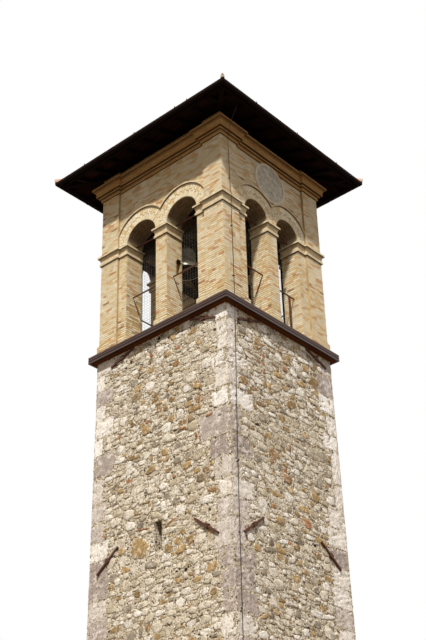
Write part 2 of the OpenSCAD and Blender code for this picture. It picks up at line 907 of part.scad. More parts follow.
// Lightning conductor down the right side, near the front corner
stand_off = 45;
pier_off = 60;
function run_y(share) = -py + share * belfry_d;
conductor_top = [
    [fx - 344, run_y(0.0216), board_under(344) - conductor_d], [fx - 534, run_y(0.0346), eave_level - 100],
    [px + cornice_out + 52, run_y(0.0368), cornice_top - 40],
    [px + cornice_out - 28, run_y(0.0346), cornice_bottom + 190],
    [px + pier_off, run_y(0.0584), cornice_bottom - 60], [px + pier_off, run_y(0.0645), spring_z + 130],
    [px + impost_out + 16, run_y(0.0649), spring_z + 20],
    [px + impost_out + 16, run_y(0.0652), spring_z - 60],
    [px + pier_off, run_y(0.066), impost_bottom - 80], [px + pier_off, run_y(0.0682), base_z - 150],
    [px + pier_off, run_y(0.0682), z0 - 60]
];
// Down the shaft: shares of its height below the top, and of its depth in from the front face
conductor_marks = [[0.021, 0.066], [0.216, 0.0443], [0.339, 0.0385], [0.483, 0.0318], [0.9995, 0.031]];
conductor_low = [
    for (q = conductor_marks) let (z = shaft_h * (1 - q[0]))
        [shaft_half_x(z) + stand_off, -shaft_half_y(z) + q[1] * shaft_d, z]
];
conductor_path = concat(conductor_top, conductor_low);

// Rings of eight points along a path, each square to the path there
function unit(v) = v / norm(v);
function along_path(p, i) = unit(p[min(i + 1, len(p) - 1)] - p[max(i - 1, 0)]);
function ring_at(p, i, r) =
    let (t = along_path(p, i), u = unit(cross(t, [0, 1, 0])), v = cross(t, u))
    [for (k = [0 : 7]) p[i] + r * (cos(45 * k) * u + sin(45 * k) * v)];

module swept_rod(path, d) {
    n = len(path);
    polyhedron(
        points = [for (i = [0 : n - 1]) each ring_at(path, i, d / 2)],
        faces = concat(
            [[for (k = [0 : 7]) k]],
            [for (i = [0 : n - 2], k = [0 : 7])
                [8 * i + k, 8 * i + 8 + k, 8 * i + 8 + (k + 1) % 8, 8 * i + (k + 1) % 8]],
            [[for (k = [7 : -1 : 0]) 8 * (n - 1) + k]]));
}

module lightning_conductor() {
    color("#5b4a40") swept_rod(conductor_path, conductor_d);
}

// A clip from the wall to the conductor
module clip(face, rod_x, y, z) {
    near = rod_x - conductor_d / 2 - 1;
    span([face, y - 9, z - 9], [near, y + 9, z + 9]);
    span([near - 8, y - 26, z - 14], [near, y + 26, z + 14]);
    for (s = [-1, 1]) span([near - 8, y + s * 20 - 6, z - 14], [near + conductor_d, y + s * 20 + 6, z + 14]);
}

function low_y(z) = lookup(z, [for (i = [len(conductor_low) - 1 : -1 : 0])
    [conductor_low[i][2], conductor_low[i][1]]]);

module conductor_clips() {
    color("#4a3b33") {
        for (k = [0 : 8]) let (z = shaft_h * (0.0625 + 0.099 * k))
            clip(shaft_half_x(z - 14), shaft_half_x(z) + stand_off, low_y(z), z);
        clip(px, px + pier_off, run_y(0.0678), base_z + 350);
        clip(px, px + pier_off, run_y(0.0666), impost_bottom - 760);
        clip(px, px + pier_off, run_y(0.063), spring_z + 600);
    }
}

// Bell frame

module bell_bearers_body() {
    both_sides() span([bearer_x - bearer_w / 2, -iy - bearer_seat, bearer_top - beam_h],
                      [bearer_x + bearer_w / 2, iy + bearer_seat, bearer_top]);
}

module bell_bearers() {
    color("#4b3424") bell_bearers_body();
}

module bell_beams() {
    reach = bearer_x + bearer_w / 2;
    color("#4b3424") for (s = [-1, 1])
        span([-reach, bell_y + s * beam_gap - beam_w / 2, bearer_top],
             [reach, bell_y + s * beam_gap + beam_w / 2, beam_top]);
}

module bell_bearings() {
    color("#2b2b2b") for (s = [-1, 1])
        translate([bell_x, bell_y + s * beam_gap, 0]) difference() {
            span([-85, -bearing_t / 2, beam_top], [85, bearing_t / 2, pivot_z + 55]);
            translate([0, bearing_t, pivot_z]) rotate([90, 0, 0])
                cylinder(h = 2 * bearing_t, r = gudgeon_r + gudgeon_play);
        }
}

module bell_headstock() {
    half = beam_gap - beam_w / 2 - 30;
    end = beam_gap + bearing_t / 2 + 10;
    color("#5a3d28") {
        span([bell_x - stock_w / 2, bell_y - half, pivot_z - 90],
             [bell_x + stock_w / 2, bell_y + half, pivot_z - 90 + stock_h]);
        translate([bell_x, bell_y + end, pivot_z]) rotate([90, 0, 0]) cylinder(h = 2 * end, r = gudgeon_r);
    }
}

// Half section of the bell, radius and height as shares of its mouth and its height
outer_curve = [
    [0.500, 0.000], [0.497, 0.045], [0.478, 0.100], [0.465, 0.125], [0.471, 0.131], [0.465, 0.141],
    [0.456, 0.143], [0.436, 0.180], [0.396, 0.270], [0.362, 0.370],
    [0.336, 0.480], [0.318, 0.590], [0.306, 0.700], [0.297, 0.800], [0.303, 0.807], [0.303, 0.817],
    [0.294, 0.824], [0.290, 0.850], [0.266, 0.920],
    [0.222, 0.970], [0.160, 0.992], [0.000, 1.000]
];
inner_curve = [
    [0.000, 0.930], [0.150, 0.920], [0.215, 0.885], [0.252, 0.820], [0.270, 0.700], [0.282, 0.590],
    [0.300, 0.480], [0.325, 0.370], [0.358, 0.270], [0.394, 0.180], [0.424, 0.100], [0.452, 0.030],
    [0.470, 0.000]
];

module bell() {
    section = concat(
        [for (q = outer_curve) [q[0] * bell_d, q[1] * bell_h]],
        [for (q = inner_curve) [q[0] * bell_d, q[1] * bell_h]]);
    color("#7f9484") translate([bell_x, bell_y, z0 + bell_lip_z]) {
        rotate_extrude() polygon(section);
        translate([0, 0, bell_h - 12]) cylinder(h = 50, r = 105);
        for (a = [0, 90]) rotate([0, 0, a]) translate([0, 0, bell_h + 30]) rotate([90, 0, 0])
            rotate_extrude(angle = 180) translate([82, 0]) circle(r = 22, $fn = 24);
        translate([0, 0, bell_h + 30]) cylinder(h = crown_gap - 30, r = 36);
    }
}

crown_gap = 160;

module bell_clapper() {
    top = z0 + bell_lip_z + bell_h * 0.9285;
    color("#3a3a38") translate([bell_x, bell_y, 0]) {
        translate([0, 0, z0 + bell_lip_z + 60]) cylinder(h = top - z0 - bell_lip_z - 60, r = 18);
        translate([0, 0, z0 + bell_lip_z + 70]) sphere(r = 68);
        translate([0, 0, z0 + bell_lip_z - 60]) cylinder(h = 90, r = 30);
    }
}

shaft_front_back_walls();
shaft_side_walls();
sill_course_front_back();
sill_course_sides();
belfry_floor();
ledge_board();
ledge_flashing();
pier_bases();
corner_piers();
centre_piers();
corner_imposts();
centre_imposts();
upper_corner_pilasters();
front_arch_wall();
back_arch_wall();
left_arch_wall();
right_arch_wall();
hood_mouldings();
cornice_front_back();
cornice_sides();
wall_plates();
rafters();
hip_rafters();
ridge_beam();
roof_boards_front_back();
roof_boards_sides();
roof_tiles_front_back();
roof_tiles_sides();
hip_and_ridge_tiles();
eaves_fillet();
gutters();
gutter_brackets();
wall_disc();
tie_bars();
opening_rails();
anchor_bars();
lightning_conductor();
conductor_clips();
bell_bearers();
bell_beams();
bell_bearings();
bell_headstock();
bell();
bell_clapper();
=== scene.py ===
"""Looks of the bell tower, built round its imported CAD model.

Metres, +Z up, origin on the ground at the centre of the shaft. The front faces -Y and the side
with the round disc faces +X. Side 0 is the front, 1 the right, 2 the back and 3 the left.
"""

import math
from collections import namedtuple

import bpy
import numpy as np
from bpy.props import FloatProperty, FloatVectorProperty, IntProperty, PointerProperty
from mathutils import Matrix, Vector


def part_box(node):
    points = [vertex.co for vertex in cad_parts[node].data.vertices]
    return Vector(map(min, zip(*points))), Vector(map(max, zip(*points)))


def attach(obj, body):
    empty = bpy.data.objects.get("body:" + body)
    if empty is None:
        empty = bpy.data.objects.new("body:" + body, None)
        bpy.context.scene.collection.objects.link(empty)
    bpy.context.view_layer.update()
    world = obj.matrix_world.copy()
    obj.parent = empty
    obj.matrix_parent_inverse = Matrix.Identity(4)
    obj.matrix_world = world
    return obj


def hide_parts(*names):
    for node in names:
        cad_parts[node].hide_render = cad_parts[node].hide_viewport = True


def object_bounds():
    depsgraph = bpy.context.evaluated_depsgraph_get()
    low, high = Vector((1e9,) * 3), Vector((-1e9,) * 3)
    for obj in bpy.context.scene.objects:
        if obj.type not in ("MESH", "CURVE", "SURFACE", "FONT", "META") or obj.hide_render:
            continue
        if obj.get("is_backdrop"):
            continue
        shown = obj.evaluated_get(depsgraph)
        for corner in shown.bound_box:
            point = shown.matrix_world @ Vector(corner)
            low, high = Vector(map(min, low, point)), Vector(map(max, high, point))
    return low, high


bl_info = {
    "name": "Bell tower",
    "version": (1, 0, 0),
    "blender": (4, 5, 0),
    "location": "3D View > Sidebar > Tower",
    "description": "Stonework, brickwork, roof, metal and bell of a bell tower",
    "category": "Object",
}

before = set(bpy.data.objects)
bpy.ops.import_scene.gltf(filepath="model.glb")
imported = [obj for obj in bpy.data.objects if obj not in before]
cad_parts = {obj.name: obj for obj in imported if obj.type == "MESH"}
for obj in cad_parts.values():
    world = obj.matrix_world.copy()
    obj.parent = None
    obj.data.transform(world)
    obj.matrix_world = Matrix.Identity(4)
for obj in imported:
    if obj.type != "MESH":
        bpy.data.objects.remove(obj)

# Sizes that the CAD model has too. Shaft
SHAFT_TOP = 19.2
SHAFT_HALF = (2.515, 2.325)
LEAN = 0.119 / 19.2
SLIT_HALF = 0.13
SLIT_Z = (12.8, 13.6)
# Middle of the ledge sheet's lower groove
LEDGE_GROOVE_Z = 19.298
# Belfry
SILL_Z = 19.454
BASE_SHOULDER_Z = 19.78
BASE_Z = 19.85
BASE_OUT = 0.045
IMPOST_Z = 22.66
SPRING_Z = 23.005
CORNICE_Z = 25.13
RING_W = 0.455
RING_OUT = 0.014
DISC_Z = 24.545
DISC_R = 0.70
NICHE_Y = (-1.832, -1.602)
NICHE_Z = (21.40, 21.96)
WEEP_X = 2.04
WEEP_Z = (23.12, 23.24)
CHAMBER_HALF = (1.78, 1.59)
BELL_LIP_Z = 22.07
# Roof
FASCIA = (3.464, 3.274)
EAVE_Z = 25.86
PITCH = math.radians(18)
BOARD_T = 0.03
TILE_T = 0.072
HIP_OVER = 0.13

# How far a stone, a brick, and a brick that turns a corner reach back from the face
STONE_BACK = 0.008
BRICK_BACK = 0.012
CORNER_BACK = 0.073
# Bricks round each arch on the front and on the sides, where the two rings of its even and odd
# bricks meet, and the rows on its underside
ARCH_BRICKS = (27, 23)
RING_SPLIT = (0.19, 0.25)
SOFFIT_ROWS = 5
# Shares: of its wedge that an arch brick fills, of headers in a course, and of bricks that have
# fallen out of a worn patch
ARCH_BRICK_WIDE = 0.92
HEADER_SHARE = 0.22
LOST_SHARE = 0.55
# Length of a roof tile; length, gauge, half width and height of a hip tile; tint of the pale tile
# at the foot of each hip, and the part of it that its mortar fills
TILE_LONG = 0.45
HIP_TILE_LONG = 0.46
HIP_GAUGE = 0.36
HIP_TILE_HALF = 0.122
HIP_TILE_HIGH = 0.106
END_TILE_TINT = 0.86
PLUG_FIT = 0.86
# How far the bird guards stand outside the walls' inner faces, and clear of the reveals
GUARD_IN = 0.09
GUARD_CLEAR = 0.008

# Camera of the photograph: place, azimuth, pitch and roll in degrees, focal length in mm
CAMERA_PLACE = (20.575, -23.511, 1.642)
CAMERA_TURN = (41.19, 31.40, -1.53)
CAMERA_LENS = 68.25

Side = namedtuple("Side", "along out half face wall pier inner jamb mid centre radius")
UP = Vector((0, 0, 1))


def side(i):
    """Axes and half sizes of one side of the belfry."""
    turn = Matrix.Rotation(math.pi / 2 * i, 3, "Z")
    along = turn @ Vector((1, 0, 0))
    out = turn @ Vector((0, -1, 0))
    if i % 2 == 0:
        return Side(along, out, 2.5, 2.31, 2.24, 1.78, 1.59, 1.445, 0.225, 0.835, 0.61)
    return Side(along, out, 2.31, 2.5, 2.43, 1.59, 1.78, 1.2425, 0.2125, 0.7275, 0.515)


def linear(colour):
    """A colour as linear RGBA, from sRGB hex or from a setting, which is linear already."""
    if not isinstance(colour, str):
        return tuple(colour[:3]) + (1.0,)
    parts = [int(colour[k : k + 2], 16) / 255 for k in (0, 2, 4)]
    return tuple(c / 12.92 if c <= 0.04045 else ((c + 0.055) / 1.055) ** 2.4 for c in parts) + (1.0,)


# Settings that a user would change


def length_of(name, default, low, high, about):
    """A length in metres with its least and greatest value."""
    return FloatProperty(
        name=name, description=about, default=default, min=low, max=high, unit="LENGTH", subtype="DISTANCE"
    )


def colour_of(name, default, about):
    """A colour, first given as sRGB hex."""
    return FloatVectorProperty(
        name=name, description=about, default=linear(default)[:3], subtype="COLOR", size=3, min=0, max=1
    )


def strength_of(name, default, high, about):
    """The strength of a light."""
    return FloatProperty(name=name, description=about, default=default, min=0, max=high)


class TowerBricks(bpy.types.PropertyGroup):
    """Sizes and colours of the belfry's brickwork."""

    length: length_of("Brick length", 0.255, 0.2, 0.32, "Length of a brick with one joint")
    course: length_of("Course", 0.070, 0.05, 0.09, "Height of a course with one joint")
    joint: length_of("Joint", 0.011, 0.004, 0.02, "Width of the mortar joints")
    proud: length_of("Standing out", 0.005, 0.001, 0.02, "How far the bricks stand out of the mortar")
    pale: colour_of("Pale brick", "f5ecd6", "Colour of the palest bricks")
    straw: colour_of("Straw brick", "ebdfbe", "Colour of most bricks")
    orange: colour_of("Orange brick", "dbab78", "Colour of the few orange bricks")
    mortar: colour_of("Lime mortar", "cdb488", "Colour of the mortar between the bricks")


class TowerStones(bpy.types.PropertyGroup):
    """Sizes and colours of the shaft's rubble."""

    proud: length_of("Standing out", 0.017, 0.002, 0.05, "How far the stones stand out of the mortar")
    quoin_proud: length_of("Quoins standing out", 0.007, 0.002, 0.04, "How far the corner stones stand out")
    cream: colour_of("Cream stone", "e8dfcc", "Colour of most stones")
    ochre: colour_of("Ochre stone", "cdae7c", "Colour of the ochre stones")
    mortar: colour_of("Shaft mortar", "e3d8c4", "Colour of the shaft's lime mortar")
    quoin: colour_of("Corner stone", "ede6dc", "Colour of the dressed corner stones")


class TowerRoof(bpy.types.PropertyGroup):
    """Sizes and colours of the roof."""

    tile_spacing: length_of("Tile spacing", 0.21, 0.15, 0.3, "Distance between columns of tiles")
    tile_gauge: length_of("Tile gauge", 0.34, 0.25, 0.42, "Length of each tile that shows")
    tile_radius: length_of("Tile radius", 0.088, 0.06, 0.12, "Radius of a tile's wide end")
    plank: length_of("Plank width", 0.165, 0.1, 0.3, "Width of the boards under the tiles")
    clay: colour_of("Clay tile", "b4714e", "Colour of most roof tiles")
    board: colour_of("Roof board", "1e1008", "Colour of the boards under the tiles")


class TowerMetal(bpy.types.PropertyGroup):
    """Sizes and colours of the metalwork."""

    mesh_pitch: length_of("Guard mesh", 0.1, 0.03, 0.12, "Distance between the wires of the bird guards")
    wire: length_of("Guard wire", 0.0045, 0.001, 0.012, "Thickness of the wires, coarse enough to show")
    sheet: colour_of("Painted sheet", "4a3129", "Colour of the painted ledge")
    gutter: colour_of("Painted gutter", "1b0d08", "Colour of the painted gutters")
    rust: colour_of("Rust", "5e3524", "Colour of rusty iron")
    verdigris: colour_of("Verdigris", "b4b1a2", "Colour of the bell's patina")


class TowerStage(bpy.types.PropertyGroup):
    """Camera, light and floor."""

    sun: strength_of("Key light", 4.6, 10, "Strength of the key light")
    sun_size: FloatProperty(
        name="Key light size", description="Apparent width of the key light",
        default=math.radians(2), subtype="ANGLE", min=0,
    )
    side: strength_of("Side light", 0.45, 3, "Strength of the wide light on the right side")
    fill: strength_of("Fill light", 0.32, 3, "Strength of the even light from all round")
    floor: length_of("Floor", 70.0, 20, 200, "Width of the floor")
    seed: IntProperty(name="Pattern", description="Chooses the lay of stones and bricks", default=7, min=0)


# Modelling helpers


def fresh():
    """Leaves nothing selected, so that the next operator acts on its own piece alone."""
    if bpy.context.object and bpy.context.object.mode != "OBJECT":
        bpy.ops.object.mode_set(mode="OBJECT")
    bpy.ops.object.select_all(action="DESELECT")


def primitive(kind, **sizes):
    """A new primitive, the only piece selected."""
    fresh()
    getattr(bpy.ops.mesh, f"primitive_{kind}_add")(**sizes)
    return bpy.context.object


def edit_all():
    """Goes into edit mode with all of the active piece selected."""
    bpy.ops.object.mode_set(mode="EDIT")
    bpy.ops.mesh.select_all(action="SELECT")


def pick(piece, test):
    """Goes into edit mode with just the faces selected whose middle and normal pass a test."""
    bpy.ops.object.mode_set(mode="OBJECT")
    mesh = piece.data
    for elements in (mesh.vertices, mesh.edges):
        elements.foreach_set("select", np.zeros(len(elements), bool))
    chosen = [bool(test(p.center, p.normal)) for p in mesh.polygons]
    mesh.polygons.foreach_set("select", chosen)
    bpy.ops.object.mode_set(mode="EDIT")
    bpy.ops.mesh.select_mode(type="FACE")


def extrude(distance, scale=(1, 1, 1)):
    """Draws the picked faces out along Z and resizes their far end."""
    bpy.ops.mesh.extrude_region_move(TRANSFORM_OT_translate={"value": (0, 0, distance)})
    bpy.ops.transform.resize(value=scale)


def roughen(offset, seed):
    """Moves the selected corners about at random, each by up to an offset."""
    bpy.ops.transform.vertex_random(offset=offset, uniform=1.0, normal=0, seed=seed)


def shape_done(piece):
    """Back to object mode with the piece at the origin, unselected, and its normals outwards."""
    edit_all()
    bpy.ops.mesh.normals_make_consistent(inside=False)
    bpy.ops.object.mode_set(mode="OBJECT")
    bpy.ops.object.transform_apply(location=True, rotation=True, scale=True)
    piece.select_set(False)
    return piece


def edit_piece(piece, operator, **values):
    """Runs one edit operator on the whole of a piece."""
    fresh()
    piece.select_set(True)
    bpy.context.view_layer.objects.active = piece
    edit_all()
    operator(**values)
    bpy.ops.object.mode_set(mode="OBJECT")
    piece.select_set(False)


def cut_away(piece, point, normal):
    """Cuts a piece with a plane and clears what lies on the side that the normal points to."""
    edit_piece(piece, bpy.ops.mesh.bisect, plane_co=point, plane_no=normal, clear_outer=True, use_fill=False)


def brick_unit():
    """A brick's face one long, high and deep: a cube without its back, its front edges worn round."""
    unit = primitive("cube", size=1)
    pick(unit, lambda c, n: n.z > 0.9)
    bpy.ops.transform.translate(value=(0, 0, 0.1))
    extrude(0.4, (0.978, 0.90, 1))
    pick(unit, lambda c, n: n.z < -0.9)
    bpy.ops.transform.translate(value=(0, 0, 0.4))
    bpy.ops.mesh.delete(type="FACE")
    return shape_done(unit)


def block_unit():
    """A plank or a beam one long, wide and thick, its arrises eased."""
    unit = primitive("cube", size=1)
    edit_all()
    bpy.ops.mesh.bevel(offset=0.025, segments=1, affect="EDGES")
    return shape_done(unit)


def quoin_unit(seed):
    """A corner stone, squared by hand: a cut-up cube with broken arrises and hollows in its faces."""
    unit = primitive("cube", size=1)
    edit_all()
    bpy.ops.mesh.subdivide(number_cuts=6)
    roughen(0.014, seed)
    bpy.ops.mesh.vertices_smooth(factor=0.2, repeat=1)
    return shape_done(unit)


def stone_unit(seed, corners, rings, worn):
    """A rubble stone's face: an uneven outline drawn in, ring by ring, to a low worn dome."""
    unit = primitive("circle", vertices=corners, radius=0.53, fill_type="NGON")
    edit_all()
    roughen(0.15, seed)
    pick(unit, lambda c, n: True)
    bpy.ops.transform.resize(value=(1, 1, 0))
    for k, (rise, shrink) in enumerate(rings):
        extrude(rise, (shrink, shrink, 1))
        roughen(0.035, seed + 50 + k)
    pick(unit, lambda c, n: abs(n.z) > 0.9 and c.z < 0.1)
    bpy.ops.mesh.delete(type="FACE")
    shape_done(unit)
    pick(unit, lambda c, n: n.z < -0.8)
    bpy.ops.mesh.flip_normals()
    bpy.ops.object.mode_set(mode="OBJECT")
    unit.data.polygons.foreach_set("use_smooth", np.full(len(unit.data.polygons), worn))
    unit.select_set(False)
    return unit


def halve(**fill):
    """Keeps the half of a round unit that lies towards -Y."""
    bpy.ops.mesh.select_all(action="SELECT")
    bpy.ops.mesh.bisect(plane_co=(0, 0, 0), plane_no=(0, 1, 0), clear_outer=True, **fill)


def lie_down(unit):
    """Turns an upright unit to lie along Y, and finishes it."""
    edit_all()
    bpy.ops.transform.rotate(value=math.pi / 2, orient_axis="X", center_override=(0, 0, 0))
    return shape_done(unit)


def tile_unit(taper):
    """A half-round clay tile one long: half a tapered tube with a wall."""
    tube = {"vertices": 16, "radius": 1, "depth": 1, "end_fill_type": "NOTHING"}
    unit = primitive("cylinder", location=(0, 0, 0.5), **tube)
    edit_all()
    halve()
    bpy.ops.object.mode_set(mode="OBJECT")
    for vertex in unit.data.vertices:
        if vertex.co.z > 0.25:
            vertex.co.x *= taper
            vertex.co.y *= taper
    wall = unit.modifiers.new("wall", "SOLIDIFY")
    wall.thickness, wall.offset = 0.13, -1
    bpy.ops.object.modifier_apply(modifier="wall")
    return lie_down(unit)


def plug_unit():
    """The mortar that fills the end of a hip tile: half a short rod, its face worn round."""
    unit = primitive("cylinder", vertices=20, radius=1, depth=1)
    pick(unit, lambda c, n: n.z < -0.9)
    extrude(-0.2, (0.8, 0.8, 1))
    halve(use_fill=True)
    return lie_down(unit)


def unit_faces(unit):
    """Vertices of a unit and its faces as flat lists."""
    mesh = unit.data
    points = np.empty(len(mesh.vertices) * 3, np.float64)
    mesh.vertices.foreach_get("co", points)
    corners = np.empty(len(mesh.loops), np.int32)
    mesh.loops.foreach_get("vertex_index", corners)
    sizes = np.array([p.loop_total for p in mesh.polygons], np.int32)
    smooth = np.array([p.use_smooth for p in mesh.polygons], bool)
    return points.reshape(-1, 3), corners, sizes, smooth


def placed(unit, centres, alongs, ups, outs):
    """Points of copies of a unit, each with its own middle and its own three axes."""
    points = unit_faces(unit)[0]
    where, *axes = (np.asarray(a, float)[:, None, :] for a in (centres, alongs, ups, outs))
    for k, axis in enumerate(axes):
        where = where + points[None, :, k, None] * axis
    return where


def copies(unit, laid):
    """A unit, the points of its copies and their tints. Each copy has its middle, three axes and tint."""
    *frames, tints = zip(*laid)
    return unit, placed(unit, *frames), tints


def rise_of(base):
    """How far each point of a unit lies from its edges: 0 there, 1 at its top or in its middle."""
    if base[:, 2].min() > -0.2:
        return np.clip(base[:, 2], 0, 1).astype(np.float32)
    nearest = np.sort(0.5 - np.abs(base), axis=1)[:, 1]
    return np.clip(nearest * 4, 0, 1).astype(np.float32)


def join_copies(name, groups, material, body="tower"):
    """One piece made of all the copies, with each copy's tint and rise kept on its points."""
    points, corners, sizes, smooth, tints, rises, first = [], [], [], [], [], [], 0
    for unit, where, tint in groups:
        base, loop, size, flags = unit_faces(unit)
        count, per = len(where), len(base)
        if not count:
            continue
        points.append(where.reshape(-1, 3))
        corners.append((loop[None, :] + (first + per * np.arange(count))[:, None]).ravel())
        sizes.append(np.tile(size, count))
        smooth.append(np.tile(flags, count))
        tints.append(np.repeat(np.asarray(tint, np.float32), per))
        rises.append(np.tile(rise_of(base), count))
        first += per * count
    points, corners, sizes = map(np.concatenate, (points, corners, sizes))
    mesh = bpy.data.meshes.new(name)
    mesh.vertices.add(len(points))
    mesh.vertices.foreach_set("co", points.ravel())
    mesh.loops.add(len(corners))
    mesh.loops.foreach_set("vertex_index", corners)
    mesh.polygons.add(len(sizes))
    mesh.polygons.foreach_set("loop_start", np.concatenate([[0], np.cumsum(sizes)[:-1]]).astype(np.int32))
    mesh.polygons.foreach_set("use_smooth", np.concatenate(smooth))
    mesh.update(calc_edges=True)
    for attribute, values in (("tint", tints), ("rise", rises)):
        mesh.attributes.new(attribute, "FLOAT", "POINT").data.foreach_set("value", np.concatenate(values))
    mesh.validate()
    piece = bpy.data.objects.new(name, mesh)
    bpy.context.scene.collection.objects.link(piece)
    return finish_piece(piece, material, body)


def finish_piece(piece, material, body="tower"):
    """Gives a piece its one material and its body."""
    piece.data.materials.clear()
    piece.data.materials.append(material)
    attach(piece, body)
    return piece


def drop_units(*units):
    """Removes the units that the copies were made from."""
    for unit in units:
        mesh = unit.data
        bpy.data.objects.remove(unit)
        bpy.data.meshes.remove(mesh)


# Materials


ALL = slice(None)


def put(tree, kind, *inputs, get=0, ramp=(), **values):
    """Adds a node with its settings and links, and hands on its outputs by number or name.

    Inputs without a name fill the sockets in use, in order: for a noise these are its place, scale,
    detail and roughness. A name with a capital is a socket, with _ for a space, and any other name
    is a setting. A ramp is a list of places and colours.
    """
    node = tree.nodes.new(f"ShaderNode{kind}")
    for name, value in values.items():
        if name[0].islower():
            setattr(node, name, value)
    for _ in ramp[2:]:
        node.color_ramp.elements.new(1.0)
    for k, (place, colour) in enumerate(ramp):
        node.color_ramp.elements[k].position = place
        node.color_ramp.elements[k].color = linear(colour)
    given = list(zip([socket for socket in node.inputs if socket.enabled], inputs))
    named = {name.replace("_", " "): value for name, value in values.items() if name[0].isupper()}
    given += [(node.inputs[name], value) for name, value in named.items()]
    for socket, value in given:
        if isinstance(value, bpy.types.NodeSocket):
            tree.links.new(value, socket)
        else:
            socket.default_value = linear(value) if socket.type == "RGBA" else value
    if isinstance(get, str):
        return node.outputs[get]
    return [socket for socket in node.outputs if socket.enabled][get]


def start_material(name):
    """A new material with no node but the piece's own coordinates."""
    material = bpy.data.materials.new(name)
    material.use_nodes = True
    tree = material.node_tree
    tree.nodes.clear()
    return material, tree, put(tree, "TexCoord", get="Object")


def end_material(material, colour, height=None, depth=0.01, rough=0.9, metallic=0.0, gloss=0.15):
    """Joins the shader and its bump to the output. Porous stuff has little gloss and metal has 0.5."""
    tree = material.node_tree
    looks = {"Base_Color": colour, "Roughness": rough, "Metallic": metallic, "Specular_IOR_Level": gloss}
    if height is not None:
        looks["Normal"] = put(tree, "Bump", Height=height, Distance=depth, Strength=1.0)
    shader = put(tree, "BsdfPrincipled", **looks)
    put(tree, "OutputMaterial", shader, get=ALL)
    return material


def glaze(tree, under, over, share, amount):
    """A colour over another, by a share of an amount between 0 and 1."""
    amount = put(tree, "Math", amount, share, operation="MULTIPLY")
    return put(tree, "Mix", amount, under, over, data_type="RGBA")


def stain(tree, under, over, share, value, none, full):
    """A colour over another where a value has left the place none, to its share at the place full."""
    amount = put(tree, "ValToRGB", value, ramp=sorted([(none, "000000"), (full, "ffffff")]))
    return glaze(tree, under, over, share, amount)


def tinted_by_copy(tree, where, wander, ramp):
    """Each copy's own tint, wandering a little over the wall, turned to a colour."""
    own = put(tree, "Attribute", attribute_name="tint", get="Fac")
    broad = put(tree, "Math", put(tree, "TexNoise", where, 0.8, 4.0, 0.55), 0.5, operation="SUBTRACT")
    at = put(tree, "Math", broad, 2 * wander, own, operation="MULTIPLY_ADD")
    return put(tree, "ValToRGB", at, ramp=ramp)


def underside_shade_mask(tree):
    """0 on upright faces, 1 on those that look straight down: the mask of the painted shade on undersides."""
    height = put(tree, "SeparateXYZ", put(tree, "TexCoord", get="Normal"), get=2)
    return put(tree, "Math", height, -1.0, operation="MULTIPLY")


def fired_brick(bricks):
    """Hand-made facing brick: sandy, matt, each brick fired to its own shade, with burnt specks."""
    material, tree, where = start_material("hand_made_brick")
    colour = tinted_by_copy(tree, where, 0.17, [
        (0.0, bricks.pale), (0.28, bricks.straw), (0.46, "e3cf9f"), (0.6, "ddbd89"), (0.76, bricks.orange),
        (0.88, "bc8258"), (1.0, "8c6d4c"),
    ])
    # Sand specks of about 10 mm, blotches of about 60 mm and weather marks of about 400 mm
    specks = put(tree, "TexNoise", where, 90.0, 2.0, 0.6)
    blotches = put(tree, "TexNoise", where, 17.0, 4.0, 0.65)
    marks = put(tree, "TexNoise", where, 2.6, 5.0, 0.68)
    colour = stain(tree, colour, "9c8662", 0.26, marks, 0.47, 0.70)
    colour = stain(tree, colour, "faf2de", 0.5, blotches, 0.50, 0.66)
    colour = stain(tree, colour, "a9825a", 0.42, blotches, 0.44, 0.32)
    colour = stain(tree, colour, "80633f", 0.5, specks, 0.42, 0.30)
    # Painted shade on the faces that look down, as under the arches
    colour = stain(tree, colour, "482a11", 0.82, underside_shade_mask(tree), 0.02, 0.45)
    lumps = put(tree, "Math", blotches, 2.0, operation="MULTIPLY")
    height = put(tree, "Math", specks, lumps, operation="ADD")
    return end_material(material, colour, height, 0.006, rough=0.92)


def courses(tree, where, first, second, joint, row, bias):
    """Courses of brick drawn on a wall, whichever way it faces: their colour and their joints."""
    facing = put(tree, "SeparateXYZ", put(tree, "TexCoord", get="Normal"), get=ALL)
    at = put(tree, "SeparateXYZ", where, get=ALL)
    to_x, to_y = (put(tree, "Math", facing[k], operation="ABSOLUTE") for k in (0, 1))
    sideways = put(tree, "Math", to_x, to_y, operation="GREATER_THAN")
    along = put(tree, "Mix", sideways, at[0], at[1], data_type="FLOAT")
    return put(
        tree, "TexBrick", put(tree, "CombineXYZ", along, at[2]), first, second, joint, get=ALL,
        offset=0.5, offset_frequency=2, Scale=1.0, Mortar_Size=0.006, Mortar_Smooth=0.4, Bias=bias,
        Brick_Width=0.262, Row_Height=row,
    )


def lime_mortar(bricks):
    """Lime mortar in the joints between bricks: gritty, washed out dark in places, painted near black as
    shade in the chamber and darker as painted shade on faces that look down.
    """
    material, tree, where = start_material("joint_mortar")
    grit = put(tree, "TexNoise", where, 45.0, 3.0, 0.7)
    stains = put(tree, "TexNoise", where, 3.5, 5.0, 0.65)
    colour = put(tree, "ValToRGB", grit, ramp=[(0.3, "8d764f"), (0.58, bricks.mortar)])
    colour = stain(tree, colour, "8a7048", 0.5, stains, 0.42, 0.62)
    # The inner faces of the bell chamber are painted near black as shade, their courses drawn in it
    painted_chamber_shade = courses(tree, where, "090604", "060403", "030202", 0.07, 0.0)[0]
    at, inside = put(tree, "SeparateXYZ", where, get=ALL), []
    for k in (0, 1):
        from_middle = put(tree, "Math", at[k], operation="ABSOLUTE")
        inside.append(put(tree, "Math", from_middle, CHAMBER_HALF[k] + 0.005, operation="LESS_THAN"))
    inside = put(tree, "Math", *inside, operation="MULTIPLY")
    colour = put(tree, "Mix", inside, colour, painted_chamber_shade, data_type="RGBA")
    # Painted shade on the faces that look down
    colour = stain(tree, colour, "2f1e0f", 0.82, underside_shade_mask(tree), 0.02, 0.45)
    return end_material(material, colour, grit, 0.008, rough=0.95)


